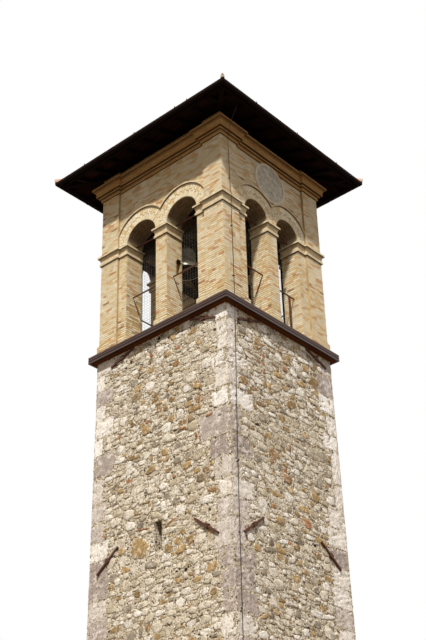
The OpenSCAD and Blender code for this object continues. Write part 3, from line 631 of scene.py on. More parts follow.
def coursed_brick(name, first, second, joint, row):
    """Brick in courses drawn by the material, for mouldings and the cornice."""
    material, tree, where = start_material(name)
    pattern, joints = courses(tree, where, first, second, joint, row, -0.35)
    marks = put(tree, "TexNoise", where, 5.0, 4.0, 0.65)
    broad = put(tree, "TexNoise", where, 1.1, 3.0, 0.55)
    colour = glaze(tree, pattern, first, 0.4, broad)
    colour = stain(tree, colour, "8c7653", 0.45, marks, 0.42, 0.75)
    # Painted shade on the faces that look down
    colour = stain(tree, colour, "2c1d10", 0.75, underside_shade_mask(tree), 0.25, 0.8)
    worn = put(tree, "Math", marks, 0.5, operation="MULTIPLY")
    height = put(tree, "Math", joints, -1.0, worn, operation="MULTIPLY_ADD")
    return end_material(material, colour, height, 0.006, rough=0.93)


def mortar_look(tree, where, stones):
    """Colour and height of the shaft's mortar: lumps and pebbles of 30 to 60 mm, grit, stains, and pits and
    gaps painted near black as shade.
    """
    distance, cell = put(tree, "TexVoronoi", where, 15.0, Randomness=1.0, get=slice(2))
    rough = put(tree, "TexNoise", where, 24.0, 5.0, 0.72)
    stains = put(tree, "TexNoise", where, 1.3, 5.0, 0.62)
    gaps = put(tree, "TexNoise", where, 11.0, 3.0, 0.6)
    pebble = put(tree, "ValToRGB", distance, ramp=[(0.30, "ffffff"), (0.44, "000000")])
    kinds = put(tree, "ValToRGB", put(tree, "SeparateXYZ", cell), ramp=[
        (0.0, "f4ecdb"), (0.22, "d9ccb0"), (0.5, "b3a487"), (0.72, "a0865c"), (0.86, "b98a5c"),
        (1.0, "6a563a"),
    ])
    # The mortar is painted near black where the rough noise is low, as shade in its pits
    colour = put(tree, "ValToRGB", rough, ramp=[
        (0.39, "2b2014"), (0.455, "a49679"), (0.52, stones.mortar), (0.63, "fffdf5"),
    ])
    colour = glaze(tree, colour, kinds, 0.7, pebble)
    colour = stain(tree, colour, "a18c62", 0.4, stains, 0.45, 0.7)
    # Gaps painted near black as shade, also sunk in the bump
    painted_hole_shade = put(tree, "ValToRGB", gaps, ramp=[(0.35, "ffffff"), (0.4, "000000")])
    colour = glaze(tree, colour, "281d11", 0.92, painted_hole_shade)
    height = put(tree, "Math", pebble, 0.4, rough, operation="MULTIPLY_ADD")
    return colour, put(tree, "Math", painted_hole_shade, -1.2, height, operation="MULTIPLY_ADD")


def lapped(tree, where, stones, colour, height, noise, spread, fall, ends, bare=None):
    """Mortar lapping over the outer part of each stone, but less of it over a bare one."""
    mortar, lumpy = mortar_look(tree, where, stones)
    rise = put(tree, "Attribute", attribute_name="rise", get="Fac")
    uneven = put(tree, "Math", put(tree, "TexNoise", where, *noise), *spread, operation="MULTIPLY_ADD")
    lap = put(tree, "Math", rise, fall, uneven, operation="MULTIPLY_ADD")
    if bare:
        lap = put(tree, "Math", bare, -0.4, lap, operation="MULTIPLY_ADD")
    wash = put(tree, "ValToRGB", lap, ramp=[(ends[0], "000000"), (ends[1], "ffffff")])
    colour = put(tree, "Mix", wash, colour, mortar, data_type="RGBA")
    return colour, put(tree, "Mix", wash, height, lumpy, data_type="FLOAT")


def rubble_stone(stones):
    """Field limestone and river stones: matt, cream to ochre and grey, pitted, with painted shade in the pits
    and in open gaps, mortar lapping their edges.
    """
    material, tree, where = start_material("rubble_limestone")
    own = put(tree, "Attribute", attribute_name="tint", get="Fac")
    # Tints from white through ochre and brown; the darkest two are open gaps, painted near black as the shade
    # in a hole
    colour = put(tree, "ValToRGB", own, ramp=[
        (0.0, "fffbf2"), (0.14, "f1e9d9"), (0.26, stones.cream), (0.42, "d2c5aa"), (0.54, "b5aa99"),
        (0.64, "8f8678"), (0.74, stones.ochre), (0.84, "a48a62"), (0.92, "cb8e68"), (0.96, "4a3824"),
        (1.0, "241a10"),
    ])
    # Pits of about 30 mm, painted dark as the shade in them, and dark and light veins of about 120 mm
    grain = put(tree, "TexNoise", where, 33.0, 4.0, 0.7)
    veins = put(tree, "TexNoise", where, 8.0, 4.0, 0.65, Distortion=0.6)
    colour = stain(tree, colour, "3c2e1c", 0.78, grain, 0.46, 0.36)
    shade = put(tree, "ValToRGB", veins, ramp=[(0.34, "7c7158"), (0.56, "ffffff")])
    colour = put(tree, "Mix", 0.6, colour, shade, data_type="RGBA", blend_type="MULTIPLY")
    colour = stain(tree, colour, "fcf7ec", 0.55, veins, 0.56, 0.68)
    painted_gap_shade = put(tree, "Math", own, 0.955, operation="GREATER_THAN")
    colour, height = lapped(
        tree, where, stones, colour, grain, (9.0, 5.0, 0.75), (1.3, 0.36), -0.66, (0.52, 0.62), painted_gap_shade
    )
    return end_material(material, colour, height, 0.022, rough=0.9)


def pebbly_mortar(stones):
    """Old lime mortar between the rubble: cream and lumpy, with pebbles, chips and small hollows painted dark
    as shade.
    """
    material, tree, where = start_material("pebbly_lime_mortar")
    return end_material(material, *mortar_look(tree, where, stones), 0.03, rough=0.95)


def dressed_stone(stones):
    """Corner limestone squared by hand: bleached white in places, rain-washed grey in others, open-pored,
    with painted shade in its pores.
    """
    material, tree, where = start_material("dressed_limestone")
    colour = tinted_by_copy(tree, where, 0.08, [
        (0.0, "fffdf8"), (0.3, stones.quoin), (0.6, "bbaea6"), (1.0, "8c807a"),
    ])
    tooling = put(tree, "TexNoise", where, 17.0, 5.0, 0.75)
    weather = put(tree, "TexNoise", where, 5.0, 6.0, 0.75)
    colour = stain(tree, colour, "fffaf3", 0.55, weather, 0.52, 0.6)
    colour = stain(tree, colour, "8f847b", 0.42, weather, 0.47, 0.34)
    # Pits of the tooling painted dark as the shade in them
    colour = stain(tree, colour, "4a3d2e", 0.7, tooling, 0.46, 0.37)
    colour, height = lapped(
        tree, where, stones, colour, tooling, (7.0, 5.0, 0.72), (1.5, -0.10), -0.35, (0.55, 0.66)
    )
    return end_material(material, colour, height, 0.022, rough=0.88)


def clay_tile(roof):
    """Hand-made clay tile: rough, red-brown to pink, with lichen."""
    material, tree, where = start_material("clay_tile")
    colour = tinted_by_copy(tree, where, 0.1, [
        (0.0, "8c5238"), (0.35, roof.clay), (0.65, "c08a63"), (0.85, "d6b09c"), (1.0, "7a5b48"),
    ])
    lichen = put(tree, "TexNoise", where, 14.0, 5.0, 0.7)
    colour = stain(tree, colour, "8f8a70", 0.6, lichen, 0.56, 0.68)
    return end_material(material, colour, put(tree, "TexNoise", where, 70.0, 3.0, 0.55), 0.004, rough=0.9)


def sawn_timber(name, light, dark, direction, gloss=0.15):
    """Weathered softwood: grain drawn out along the timber, darker where soot has settled."""
    material, tree, where = start_material(name)
    # Grain of about 18 mm and finer, drawn out along the timber
    stretched = put(tree, "Mapping", where, Scale=direction)
    grain = put(tree, "TexNoise", stretched, 55.0, 4.0, 0.6, Distortion=0.4)
    age = put(tree, "TexNoise", where, 1.7, 4.0, 0.55)
    colour = put(tree, "ValToRGB", grain, ramp=[(0.3, dark), (0.7, light)])
    colour = glaze(tree, colour, dark, 0.6, age)
    return end_material(material, colour, grain, 0.003, rough=0.85, gloss=gloss)


def plank_timber(roof):
    """Roof boards: reddish brown softwood, each board its own shade, rough with grain."""
    material, tree, where = start_material("roof_plank")
    colour = tinted_by_copy(tree, where, 0.1, [
        (0.0, "0f0804"), (0.5, roof.board), (0.8, "2e170b"), (1.0, "3f210f"),
    ])
    grain = put(tree, "TexNoise", where, 30.0, 5.0, 0.7)
    colour = glaze(tree, colour, "1d0f08", 0.5, grain)
    return end_material(material, colour, grain, 0.003, rough=0.85, gloss=0.05)


def painted_sheet(name, paint, dusty, rough, gloss):
    """Painted sheet steel: brown gloss paint gone dull, some dust and runs, painted shade on its underside
    and in its groove.
    """
    material, tree, where = start_material(name)
    dust = put(tree, "TexNoise", where, 2.2, 5.0, 0.65)
    runs = put(tree, "TexNoise", put(tree, "Mapping", where, Scale=(6.0, 6.0, 0.6)), 5.0, 3.0, 0.55)
    colour = glaze(tree, paint, "6f5a4e", dusty, dust)
    colour = glaze(tree, colour, "1e120e", 0.25, runs)
    # Painted shade on the faces that look down
    colour = stain(tree, colour, "0e0603", 0.85, underside_shade_mask(tree), 0.1, 0.6)
    # A band painted dark as shade along the ledge sheet's lower groove
    height = put(tree, "SeparateXYZ", where, get=2)
    off_groove = put(tree, "Math", height, LEDGE_GROOVE_Z, operation="SUBTRACT")
    off_groove = put(tree, "Math", off_groove, operation="ABSOLUTE")
    painted_groove_shade = put(tree, "MapRange", off_groove, 0.018, 0.036, 0.85, 0.0)
    colour = put(tree, "Mix", painted_groove_shade, colour, "140a06", data_type="RGBA")
    return end_material(material, colour, dust, 0.002, rough=rough, gloss=gloss)


def rusty_iron(metal):
    """Wrought iron under a skin of rust: dark, matt and scaly."""
    material, tree, where = start_material("rusty_wrought_iron")
    scale = put(tree, "TexNoise", where, 40.0, 5.0, 0.7)
    colour = put(tree, "ValToRGB", scale, ramp=[(0.35, "231a16"), (0.55, metal.rust), (0.75, "7a4a30")])
    return end_material(material, colour, scale, 0.003, rough=0.8, metallic=0.2, gloss=0.5)


def dull_steel(name, light, dark):
    """Zinc-coated steel gone dull grey-brown, with faint spots."""
    material, tree, where = start_material(name)
    spots = put(tree, "TexNoise", where, 25.0, 4.0, 0.6)
    colour = put(tree, "ValToRGB", spots, ramp=[(0.3, dark), (0.7, light)])
    return end_material(material, colour, spots, 0.001, rough=0.55, metallic=0.6, gloss=0.5)


def aged_plaster():
    """Lime plaster of the disc: grey-green and cream in blotches, a pale rim, fine cracks."""
    material, tree, where = start_material("weathered_plaster")
    cloud = put(tree, "TexNoise", where, 7.0, 6.0, 0.72, Distortion=0.2)
    sand = put(tree, "TexNoise", where, 60.0, 3.0, 0.55)
    colour = put(tree, "ValToRGB", cloud, ramp=[
        (0.28, "949083"), (0.44, "b5b1a2"), (0.58, "d0cab9"), (0.76, "f2e9d8"),
    ])
    spoke = put(tree, "VectorMath", where, (0.0, 0.0, DISC_Z), operation="SUBTRACT")
    spoke = put(tree, "VectorMath", spoke, (0.0, 1.0, 1.0), operation="MULTIPLY")
    radius = put(tree, "VectorMath", spoke, operation="LENGTH")
    colour = stain(tree, colour, "ecdfc8", 0.6, radius, 0.60, 0.63)
    cracks = put(tree, "TexVoronoi", where, 5.0, feature="DISTANCE_TO_EDGE")
    colour = stain(tree, colour, "5d5848", 0.35, cracks, 0.02, 0.0)
    return end_material(material, colour, put(tree, "Math", cloud, sand, operation="ADD"), 0.006, rough=0.9)


def patinated_bronze(metal):
    """Bell bronze: brown metal under a grey-green patina, worn in streaks, with a pale band of painted light
    above its rim and painted shade inside.
    """
    material, tree, where = start_material("patinated_bell_bronze")
    patina = put(tree, "TexNoise", where, 6.0, 5.0, 0.7)
    streaks = put(tree, "TexNoise", put(tree, "Mapping", where, Scale=(9.0, 9.0, 0.7)), 4.0, 3.0, 0.55)
    streaks = put(tree, "Math", streaks, 0.6, operation="MULTIPLY")
    amount = put(tree, "Math", patina, streaks, operation="ADD")
    amount = put(tree, "ValToRGB", amount, ramp=[(0.55, "000000"), (0.85, "ffffff")])
    colour = put(tree, "Mix", amount, "5a574c", metal.verdigris, data_type="RGBA")
    # A pale band painted above the rim, standing in for sunlight falling on it
    height = put(tree, "SeparateXYZ", where, get=2)
    painted_lip_light = put(tree, "MapRange", height, BELL_LIP_Z + 0.24, BELL_LIP_Z + 0.12, 0.0, 0.8)
    colour = put(tree, "Mix", painted_lip_light, colour, "f0eddd", data_type="RGBA")
    # The inside of the bell, where the faces look towards its axis, is painted black as shade
    low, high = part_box("bell")
    axis = (0.5 * (low[0] + high[0]), 0.5 * (low[1] + high[1]), 0.0)
    outwards = put(tree, "VectorMath", where, axis, operation="SUBTRACT")
    outwards = put(tree, "VectorMath", outwards, (1.0, 1.0, 0.0), operation="MULTIPLY")
    away = put(tree, "VectorMath", outwards, put(tree, "TexCoord", get="Normal"), operation="DOT_PRODUCT")
    inside = put(tree, "MapRange", away, 0.0, -0.04, 0.0, 1.0)
    colour = put(tree, "Mix", inside, colour, "0b0705", data_type="RGBA")
    return end_material(material, colour, patina, 0.001, rough=0.6, metallic=0.3, gloss=0.5)


# Every material by the name of its finish
MATERIALS = {}


def make_materials(scene):
    """Makes every material from the settings, under the name of its finish."""
    bricks, stones, roof, metal = scene.tower_bricks, scene.tower_stones, scene.tower_roof, scene.tower_metal
    MATERIALS.update(
        brick=fired_brick(bricks),
        joints=lime_mortar(bricks),
        moulded=coursed_brick("moulded_brick", bricks.straw, "dcaa70", "a2855a", 0.0575),
        cornice=coursed_brick("cornice_brick", "c39b63", "a66b38", "5f4426", 0.0625),
        stone=rubble_stone(stones),
        pebbly=pebbly_mortar(stones),
        quoin=dressed_stone(stones),
        tile=clay_tile(roof),
        plank=plank_timber(roof),
        timber=sawn_timber("dark_roof_timber", "1c0b05", "0c0502", (0.3, 1.0, 1.0), 0.03),
        bell_timber=sawn_timber("bell_frame_oak", "33271e", "120c08", (1.0, 0.07, 1.0)),
        floor=sawn_timber("floor_plank", "30261c", "1a130d", (0.1, 1.0, 1.0)),
        ledge=sawn_timber("ledge_plank", "7a431c", "3c1f0c", (1.0, 1.0, 1.0), 0.05),
        sheet=painted_sheet("painted_sheet_steel", metal.sheet, 0.45, 0.42, 0.35),
        gutter=painted_sheet("painted_gutter_steel", metal.gutter, 0.04, 0.75, 0.05),
        iron=rusty_iron(metal),
        conductor=dull_steel("dull_conductor_steel", "42362e", "201814"),
        wire=dull_steel("dull_guard_wire", "a29c90", "3d332d"),
        plaster=aged_plaster(),
        bronze=patinated_bronze(metal),
    )


# Parts of the CAD model by the finish that they get
CAD_FINISHES = {
    "pebbly": ("shaft_front_back_walls", "shaft_side_walls"),
    "joints": (
        "sill_course_front_back", "sill_course_sides", "pier_bases", "corner_piers", "centre_piers",
        "upper_corner_pilasters", "front_arch_wall", "back_arch_wall", "left_arch_wall", "right_arch_wall",
    ),
    "moulded": ("corner_imposts", "centre_imposts", "hood_mouldings"),
    "cornice": ("cornice_front_back", "cornice_sides"),
    "floor": ("belfry_floor",),
    "ledge": ("ledge_board",),
    "sheet": ("ledge_flashing",),
    "gutter": ("gutters", "gutter_brackets"),
    "timber": ("wall_plates", "rafters", "hip_rafters", "ridge_beam", "eaves_fillet"),
    "plaster": ("wall_disc",),
    "iron": ("tie_bars", "opening_rails", "anchor_bars", "bell_bearings", "bell_clapper"),
    "conductor": ("lightning_conductor", "conductor_clips"),
    "bell_timber": ("bell_bearers", "bell_beams", "bell_headstock"),
    "bronze": ("bell",),
}


class TOWER_OT_finishes(bpy.types.Operator):
    """Makes the materials and gives each CAD part its own"""

    bl_idname = "tower.finishes"
    bl_label = "Materials"

    def execute(self, context):
        make_materials(context.scene)
        for finish, names in CAD_FINISHES.items():
            for name in names:
                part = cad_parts[name]
                if part.material_slots:
                    part.material_slots[0].material = MATERIALS[finish]
                else:
                    part.data.materials.append(MATERIALS[finish])
        return {"FINISHED"}


# Shaft: corner stones and rubble

# Corner stones from the top down: top and foot below the head of the shaft, length on the side
# of that number, length on the next side, and tint from white to grey
NEAR_CORNER = [
    (0.0, 0.44, 0.65, 0.45, 0.05), (0.46, 0.94, 0.40, 0.40, 0.35), (0.96, 1.40, 0.35, 0.38, 0.3),
    (1.42, 1.87, 0.65, 0.85, 0.2), (1.89, 2.50, 0.50, 0.45, 0.35), (2.53, 3.08, 0.60, 0.95, 0.1),
    (3.10, 3.90, 1.05, 0.45, 0.62), (3.92, 4.50, 0.70, 0.85, 0.78), (4.52, 5.10, 0.60, 0.45, 0.45),
    (5.12, 5.62, 0.45, 0.85, 0.3), (5.64, 6.16, 0.50, 0.60, 0.5), (6.18, 6.90, 0.60, 0.45, 0.45),
]
FRONT_LEFT = [
    (0.45, 0.95, 0.30, 0.35, 0.2), (1.45, 1.90, 0.40, 0.45, 0.15), (2.50, 3.00, 0.45, 0.35, 0.05),
    (3.05, 3.65, 0.40, 0.85, 0.7), (3.80, 4.48, 0.60, 0.45, 0.4), (4.50, 5.00, 0.40, 0.60, 0.5),
    (5.10, 5.60, 0.70, 0.50, 0.5),
]
RIGHT_FAR = [
    (0.05, 0.60, 0.45, 0.60, 0.5), (1.30, 1.85, 0.75, 0.40, 0.05), (1.90, 2.50, 0.45, 0.60, 0.2),
    (2.50, 3.00, 0.70, 0.40, 0.05), (3.02, 3.98, 0.40, 0.55, 0.2), (4.00, 4.80, 0.35, 0.60, 0.3),
]


def corner_stones(known, draw):
    """The known corner stones, with long and short ones alternating in the gaps and down to the ground."""
    rows, at = [], 0.0
    for stone in known + [(SHAFT_TOP, SHAFT_TOP, 0, 0, 0)]:
        gap = stone[0] - at
        count = round(gap / 0.55)
        for k in range(count):
            long_way, high = (len(rows) + k) % 2, gap / count
            here = 0.48 + 0.3 * long_way + draw.uniform(-0.08, 0.08)
            there = 0.78 - 0.3 * long_way + draw.uniform(-0.08, 0.08)
            top, foot = at + k * high + 0.01, at + (k + 1) * high - 0.01
            rows.append((top, foot, here, there, draw.uniform(0.1, 0.8)))
        if stone[1] > stone[0]:
            rows.append(stone)
        at = max(at, stone[1])
    return rows


def all_corners(draw):
    """Corner stones of the corners between sides 0 and 1, 1 and 2, 2 and 3, 3 and 0."""
    return [corner_stones(known, draw) for known in (NEAR_CORNER, RIGHT_FAR, [], FRONT_LEFT)]


def on_batter(points):
    """Leans points that were placed on an upright shaft to its battered faces, above the ground."""
    below = SHAFT_TOP - points[..., 2]
    for axis in (0, 1):
        points[..., axis] *= 1 + LEAN * below / SHAFT_HALF[axis]
    points[..., 2] = np.maximum(points[..., 2], 0.001)
    return points


class TOWER_OT_quoins(bpy.types.Operator):
    """Lays the dressed stones at the four corners of the shaft"""

    bl_idname = "tower.quoins"
    bl_label = "Corner stones"

    def execute(self, context):
        stones, seed = context.scene.tower_stones, context.scene.tower_stage.seed
        draw = np.random.default_rng(seed)
        units = [quoin_unit(seed + 20 + k) for k in range(4)]
        for c, known in enumerate(all_corners(draw)):
            this, following = side(c), side((c + 1) % 4)
            corner = this.along * SHAFT_HALF[c % 2] + this.out * SHAFT_HALF[1 - c % 2]
            laid, groups = [], []
            for top, foot, here, there, tint in known:
                proud = stones.quoin_proud * draw.uniform(0.5, 1.3)
                middle = corner - this.along * (here / 2) + this.out * proud
                middle = middle + following.out * proud - this.out * (there / 2)
                middle.z = SHAFT_TOP - (top + foot) / 2
                laid.append((middle, this.along * here, UP * (foot - top + 0.016), this.out * there, tint))
            for k, unit in enumerate(units):
                unit, where, tints = copies(unit, laid[k :: len(units)])
                where += draw.normal(0, 0.003, where.shape)
                groups.append((unit, on_batter(where), tints))
            join_copies(f"quoins_{c}", groups, MATERIALS["quoin"])
        drop_units(*units)
        return {"FINISHED"}


# Stones that stand out on the front and the right side: middle along the side, middle below the
# head, width, height and tint
FRONT_STONES = [
    (-0.5, 2.85, 0.42, 0.28, 0.78), (1.45, 2.2, 0.35, 0.22, 0.76), (1.47, 2.62, 0.35, 0.2, 0.86),
    (1.35, 2.83, 0.62, 0.2, 0.79), (-0.9, 1.7, 0.6, 0.3, 0.68), (-0.95, 0.87, 0.3, 0.2, 0.02),
    (0.0, 0.5, 0.3, 0.2, 0.02), (-1.35, 2.25, 0.35, 0.3, 0.03), (0.78, 2.82, 0.3, 0.3, 0.05),
    (1.75, 1.65, 0.5, 0.3, 0.05), (-0.95, 3.5, 0.5, 0.15, 0.84), (-0.3, 4.1, 0.35, 0.25, 0.8),
    (0.35, 4.3, 0.25, 0.15, 0.85), (0.9, 3.25, 0.25, 0.15, 0.88), (1.85, 3.2, 0.35, 0.07, 0.93),
    (1.35, 3.65, 0.12, 0.2, 0.93), (1.7, 5.55, 0.6, 0.25, 0.02), (0.75, 5.5, 0.4, 0.3, 0.03),
    (1.1, 4.85, 0.3, 0.15, 0.03), (-0.8, 5.15, 0.15, 0.15, 0.8), (-0.7, 6.2, 0.8, 0.6, 0.77),
    (-0.5, 5.7, 0.5, 0.06, 0.93), (0.5, 5.75, 0.4, 0.06, 0.93), (1.3, 0.42, 0.4, 0.2, 0.82),
    (-0.3, 0.55, 0.18, 0.12, 0.93), (0.72, 0.72, 0.25, 0.1, 0.92),
]
RIGHT_STONES = [
    (1.48, 1.05, 0.5, 0.45, 0.84), (0.25, 2.2, 0.5, 0.4, 0.83), (0.75, 1.6, 0.45, 0.3, 0.02),
    (-0.8, 3.5, 0.35, 0.2, 0.78), (-0.85, 0.75, 0.12, 0.12, 0.93), (-0.85, 1.1, 0.16, 0.2, 0.93),
    (-0.85, 1.35, 0.12, 0.14, 0.92), (-0.85, 1.6, 0.14, 0.12, 0.93), (-1.1, 2.65, 0.6, 0.15, 0.85),
    (-1.3, 2.3, 0.4, 0.12, 0.86), (-1.15, 0.95, 0.3, 0.2, 0.79), (0.2, 0.9, 0.35, 0.15, 0.78),
    (-0.05, 0.65, 0.14, 0.12, 0.93), (1.3, 3.4, 0.9, 0.5, 0.5), (-0.7, 4.2, 0.22, 0.15, 0.86),
    (-0.15, 4.3, 0.15, 0.15, 0.93), (-0.2, 2.75, 0.35, 0.22, 0.79), (0.6, 5.6, 0.5, 0.3, 0.9),
    (-1.15, 5.6, 0.45, 0.5, 0.02), (0.4, 2.75, 0.4, 0.25, 0.4),
]

# The grid in which the rubble finds its room
CELL = 0.02
# Five sizes of rubble, as a mason picks them: longest, highest, least length, least height, and
# how many places are tried
RUBBLE_SIZES = [
    (0.52, 0.30, 0.30, 0.16, 260), (0.36, 0.22, 0.20, 0.12, 1000), (0.26, 0.16, 0.12, 0.08, 3400),
    (0.16, 0.10, 0.08, 0.06, 13000), (0.10, 0.06, 0.06, 0.04, 15000),
]
# Rings of large and small stones: how far each rises and how much narrower it is than the last
LARGE_RINGS = [(0.5, 0.93), (0.38, 0.84), (0.12, 0.62)]
SMALL_RINGS = [(0.6, 0.9), (0.4, 0.6)]
# How far each size stands out, in parts of the setting
RUBBLE_PROUD = np.array([1.5, 1.4, 1.2, 0.9, 0.6])
# Tints of the stones: white, cream, straw, buff, grey, dark grey, ochre, brown, orange and open
# gap, a patch painted near black as the shade in a hole, with their shares from the largest size
# to the smallest
TINTS = (0.02, 0.16, 0.28, 0.40, 0.54, 0.64, 0.75, 0.84, 0.92, 0.99)
TINT_SHARES = [
    (0.19, 0.22, 0.20, 0.13, 0.08, 0.01, 0.12, 0.05, 0.0, 0.0),
    (0.18, 0.22, 0.20, 0.14, 0.07, 0.02, 0.11, 0.06, 0.0, 0.0),
    (0.19, 0.22, 0.22, 0.12, 0.06, 0.02, 0.07, 0.08, 0.01, 0.01),
    (0.17, 0.20, 0.19, 0.11, 0.06, 0.03, 0.06, 0.06, 0.02, 0.10),
    (0.16, 0.18, 0.17, 0.11, 0.06, 0.03, 0.06, 0.06, 0.03, 0.14),
]


def reach_at(known, below, which):
    """How far the corner stones reach along a side at a depth below the head."""
    for top, foot, here, there, _ in known:
        if top - 0.02 <= below <= foot + 0.02:
            return (here, there)[which]
    return 0.5


def open_room(free, row, column, most_rows, most_columns):
    """The largest free rectangle that grows evenly from one cell, up to a size."""
    top, foot, left, right = row, row + 1, column, column + 1
    growing = True
    while growing:
        growing = False
        if foot - top < most_rows and foot < free.shape[0] and free[foot, left:right].all():
            foot, growing = foot + 1, True
        if right - left < most_columns and right < free.shape[1] and free[top:foot, right].all():
            right, growing = right + 1, True
        if foot - top < most_rows and top > 0 and free[top - 1, left:right].all():
            top, growing = top - 1, True
        if right - left < most_columns and left > 0 and free[top:foot, left - 1].all():
            left, growing = left - 1, True
    return top, foot, left, right


def cells(middle, size, zero=0):
    """The cells that a size covers about its middle."""
    first, last = (middle - size / 2 + zero) / CELL, (middle + size / 2 + zero) / CELL
    return slice(max(0, int(first)), max(0, math.ceil(last)))


def lay_rubble(draw, i, marked, corners):
    """Stones of one side, large ones first and ever smaller ones in the room that is left.

    Each has its middle along the side and below the head, its length, height, tint and size class.
    """
    half = SHAFT_HALF[i % 2]
    free = np.ones((int(SHAFT_TOP / CELL), int(2 * half / CELL)), bool)
    for row in range(free.shape[0]):
        below = (row + 0.5) * CELL
        free[row, : int((reach_at(corners[(i + 3) % 4], below, 1) - 0.02) / CELL)] = False
        free[row, free.shape[1] - int((reach_at(corners[i], below, 0) - 0.02) / CELL) :] = False
    if i % 2 == 0:
        slit = cells(SHAFT_TOP - sum(SLIT_Z) / 2, SLIT_Z[1] - SLIT_Z[0] + 0.04)
        free[slit, cells(0, 2 * SLIT_HALF + 0.04, half)] = False
    stones = []
    for u, below, wide, high, tint in marked:
        stones.append((u, below, wide, high, tint, 0))
        free[cells(below, high + 0.01), cells(u, wide + 0.01, half)] = False
    for size, (longest, highest, shortest, lowest, tries) in enumerate(RUBBLE_SIZES):
        places = np.argwhere(free)
        shares = np.array(TINT_SHARES[size]) / sum(TINT_SHARES[size])
        for row, column in places[draw.integers(0, len(places), tries)]:
            if not free[row, column]:
                continue
            most = (draw.uniform(lowest, highest) / CELL, draw.uniform(shortest, longest) / CELL)
            top, foot, left, right = open_room(free, row, column, *most)
            high, wide = (foot - top) * CELL, (right - left) * CELL
            if high < lowest or wide < shortest or high > 1.3 * wide:
                continue
            free[top:foot, left:right] = False
            tint = draw.choice(TINTS, p=shares)
            tint = float(np.clip(tint + draw.normal(0, 0.02), 0, 1))
            stones.append(((left + right) / 2 * CELL - half, (top + foot) / 2 * CELL, wide, high, tint, size))
    return np.array(stones)


class TOWER_OT_rubble(bpy.types.Operator):
    """Lays the rubble of the shaft between the corner stones, each stone in the room left to it"""

    bl_idname = "tower.rubble"
    bl_label = "Rubble"

    def execute(self, context):
        settings, seed = context.scene.tower_stones, context.scene.tower_stage.seed
        corners = all_corners(np.random.default_rng(seed))
        large = [stone_unit(seed + k, 9, LARGE_RINGS, k % 2 == 0) for k in range(6)]
        small = [stone_unit(seed + 10 + k, 6, SMALL_RINGS, False) for k in range(5)]
        for i in range(4):
            draw = np.random.default_rng(seed * 10 + i)
            along, out, up = (np.array(axis) for axis in (side(i).along, side(i).out, UP))
            stones = lay_rubble(draw, i, {0: FRONT_STONES, 1: RIGHT_STONES}.get(i, []), corners)
            count, size_class = len(stones), stones[:, 5].astype(int)
            which = np.where(size_class > 2, draw.integers(6, 11, count), draw.integers(0, 6, count))
            turn = draw.normal(0, 0.13, count)
            size = stones[:, 2:4] * draw.uniform(0.84, 1.04, (count, 2))
            proud = settings.proud * draw.uniform(0.25, 1.0, count) * RUBBLE_PROUD[size_class]
            # An open gap, a patch painted near black as the shade in a hole, has no stone standing out
            proud = np.where(stones[:, 4] > 0.96, 0.002, proud)
            face = SHAFT_HALF[1 - i % 2] - STONE_BACK
            centres = stones[:, :1] * along + face * out + (SHAFT_TOP - stones[:, 1:2]) * up
            cos, sin = np.cos(turn)[:, None], np.sin(turn)[:, None]
            alongs = (cos * along + sin * up) * size[:, :1] * draw.choice([-1, 1], (count, 1))
            ups = (-sin * along + cos * up) * size[:, 1:]
            outs = out * (proud + STONE_BACK)[:, None]
            groups = []
            for k, unit in enumerate(large + small):
                frames = (rows[which == k] for rows in (centres, alongs, ups, outs))
                groups.append((unit, on_batter(placed(unit, *frames)), stones[which == k, 4]))
            join_copies(f"rubble_{i}", groups, MATERIALS["stone"])
        drop_units(*large, *small)
        return {"FINISHED"}


# Belfry brickwork


def brick_course(draw, start, end, odd, length, joint):
    """Middle and length of each brick of a course, stretchers with some headers between them."""
    edges, at = [start], start + length / 2 if odd else start
    if odd:
        edges.append(at)
    while at < end - 0.03:
        at += length / 2 + joint / 4 if draw.random() < HEADER_SHARE else length
        edges.append(min(at, end))
    if len(edges) > 2 and edges[-1] - edges[-2] < 0.05:
        edges.pop(-2)
    edges = np.array(edges)
    return zip((edges[1:] + edges[:-1]) / 2, np.diff(edges) - joint)


class BrickFace:
    """Collects the bricks that face one way, as a bricklayer lays them: course on course."""

    def __init__(self, bricks, draw):
        """Starts with no brick laid."""
        self.bricks, self.draw, self.laid = bricks, draw, []

    def panel(self, origin, along, out, start, end, foot, top, free=None, turning=0, gone=None):
        """Fills a rectangle with courses. free gives the stretches left open at a height.

        The bricks at its start (turning 1) or at its end (turning -1) are deep, and turn a corner.
        """
        b, draw = self.bricks, self.draw
        count = max(1, round((top - foot) / b.course))
        high = (top - foot) / count
        for row in range(count):
            z = foot + (row + 0.5) * high
            odd = round(z / b.course) % 2
            for first, last in free(start, end, z) if free else [(start, end)]:
                if last - first < 0.04:
                    continue
                for u, length in brick_course(draw, first, last, odd, b.length, b.joint):
                    if length < 0.012 or (gone and gone(u, z) and draw.random() < LOST_SHARE):
                        continue
                    near_edge = u - length / 2 < start + 0.02 if turning > 0 else u + length / 2 > end - 0.02
                    back = CORNER_BACK if turning and near_edge else BRICK_BACK
                    proud = b.proud * draw.uniform(0.55, 1.5)
                    place = origin + along * u - out * back
                    place.z = z
                    self.laid.append((
                        place, (along + UP * draw.normal(0, 0.007)) * length,
                        UP * (high - b.joint + draw.uniform(-0.002, 0.001)), out * (back + proud),
                        self.tint(),
                    ))

    def corner(self, s, sign, out, foot, top, free=None):
        """The face of a corner pier or pilaster, on the left (sign -1) or the right of its side."""
        span = sorted((sign * (s.pier - out), sign * (s.half + out + self.bricks.proud)))
        self.panel(s.out * (s.face + out), s.along, s.out, *span, foot, top, free, turning=sign)

    def tint(self):
        """Most bricks are pale or straw, some tan, some orange and a few burnt."""
        kind = self.draw.random()
        if kind < 0.13:
            return self.draw.uniform(0.62, 0.86)
        if kind < 0.137:
            return 1.0
        return float(np.clip(self.draw.normal(0.32, 0.15), 0.02, 0.62))


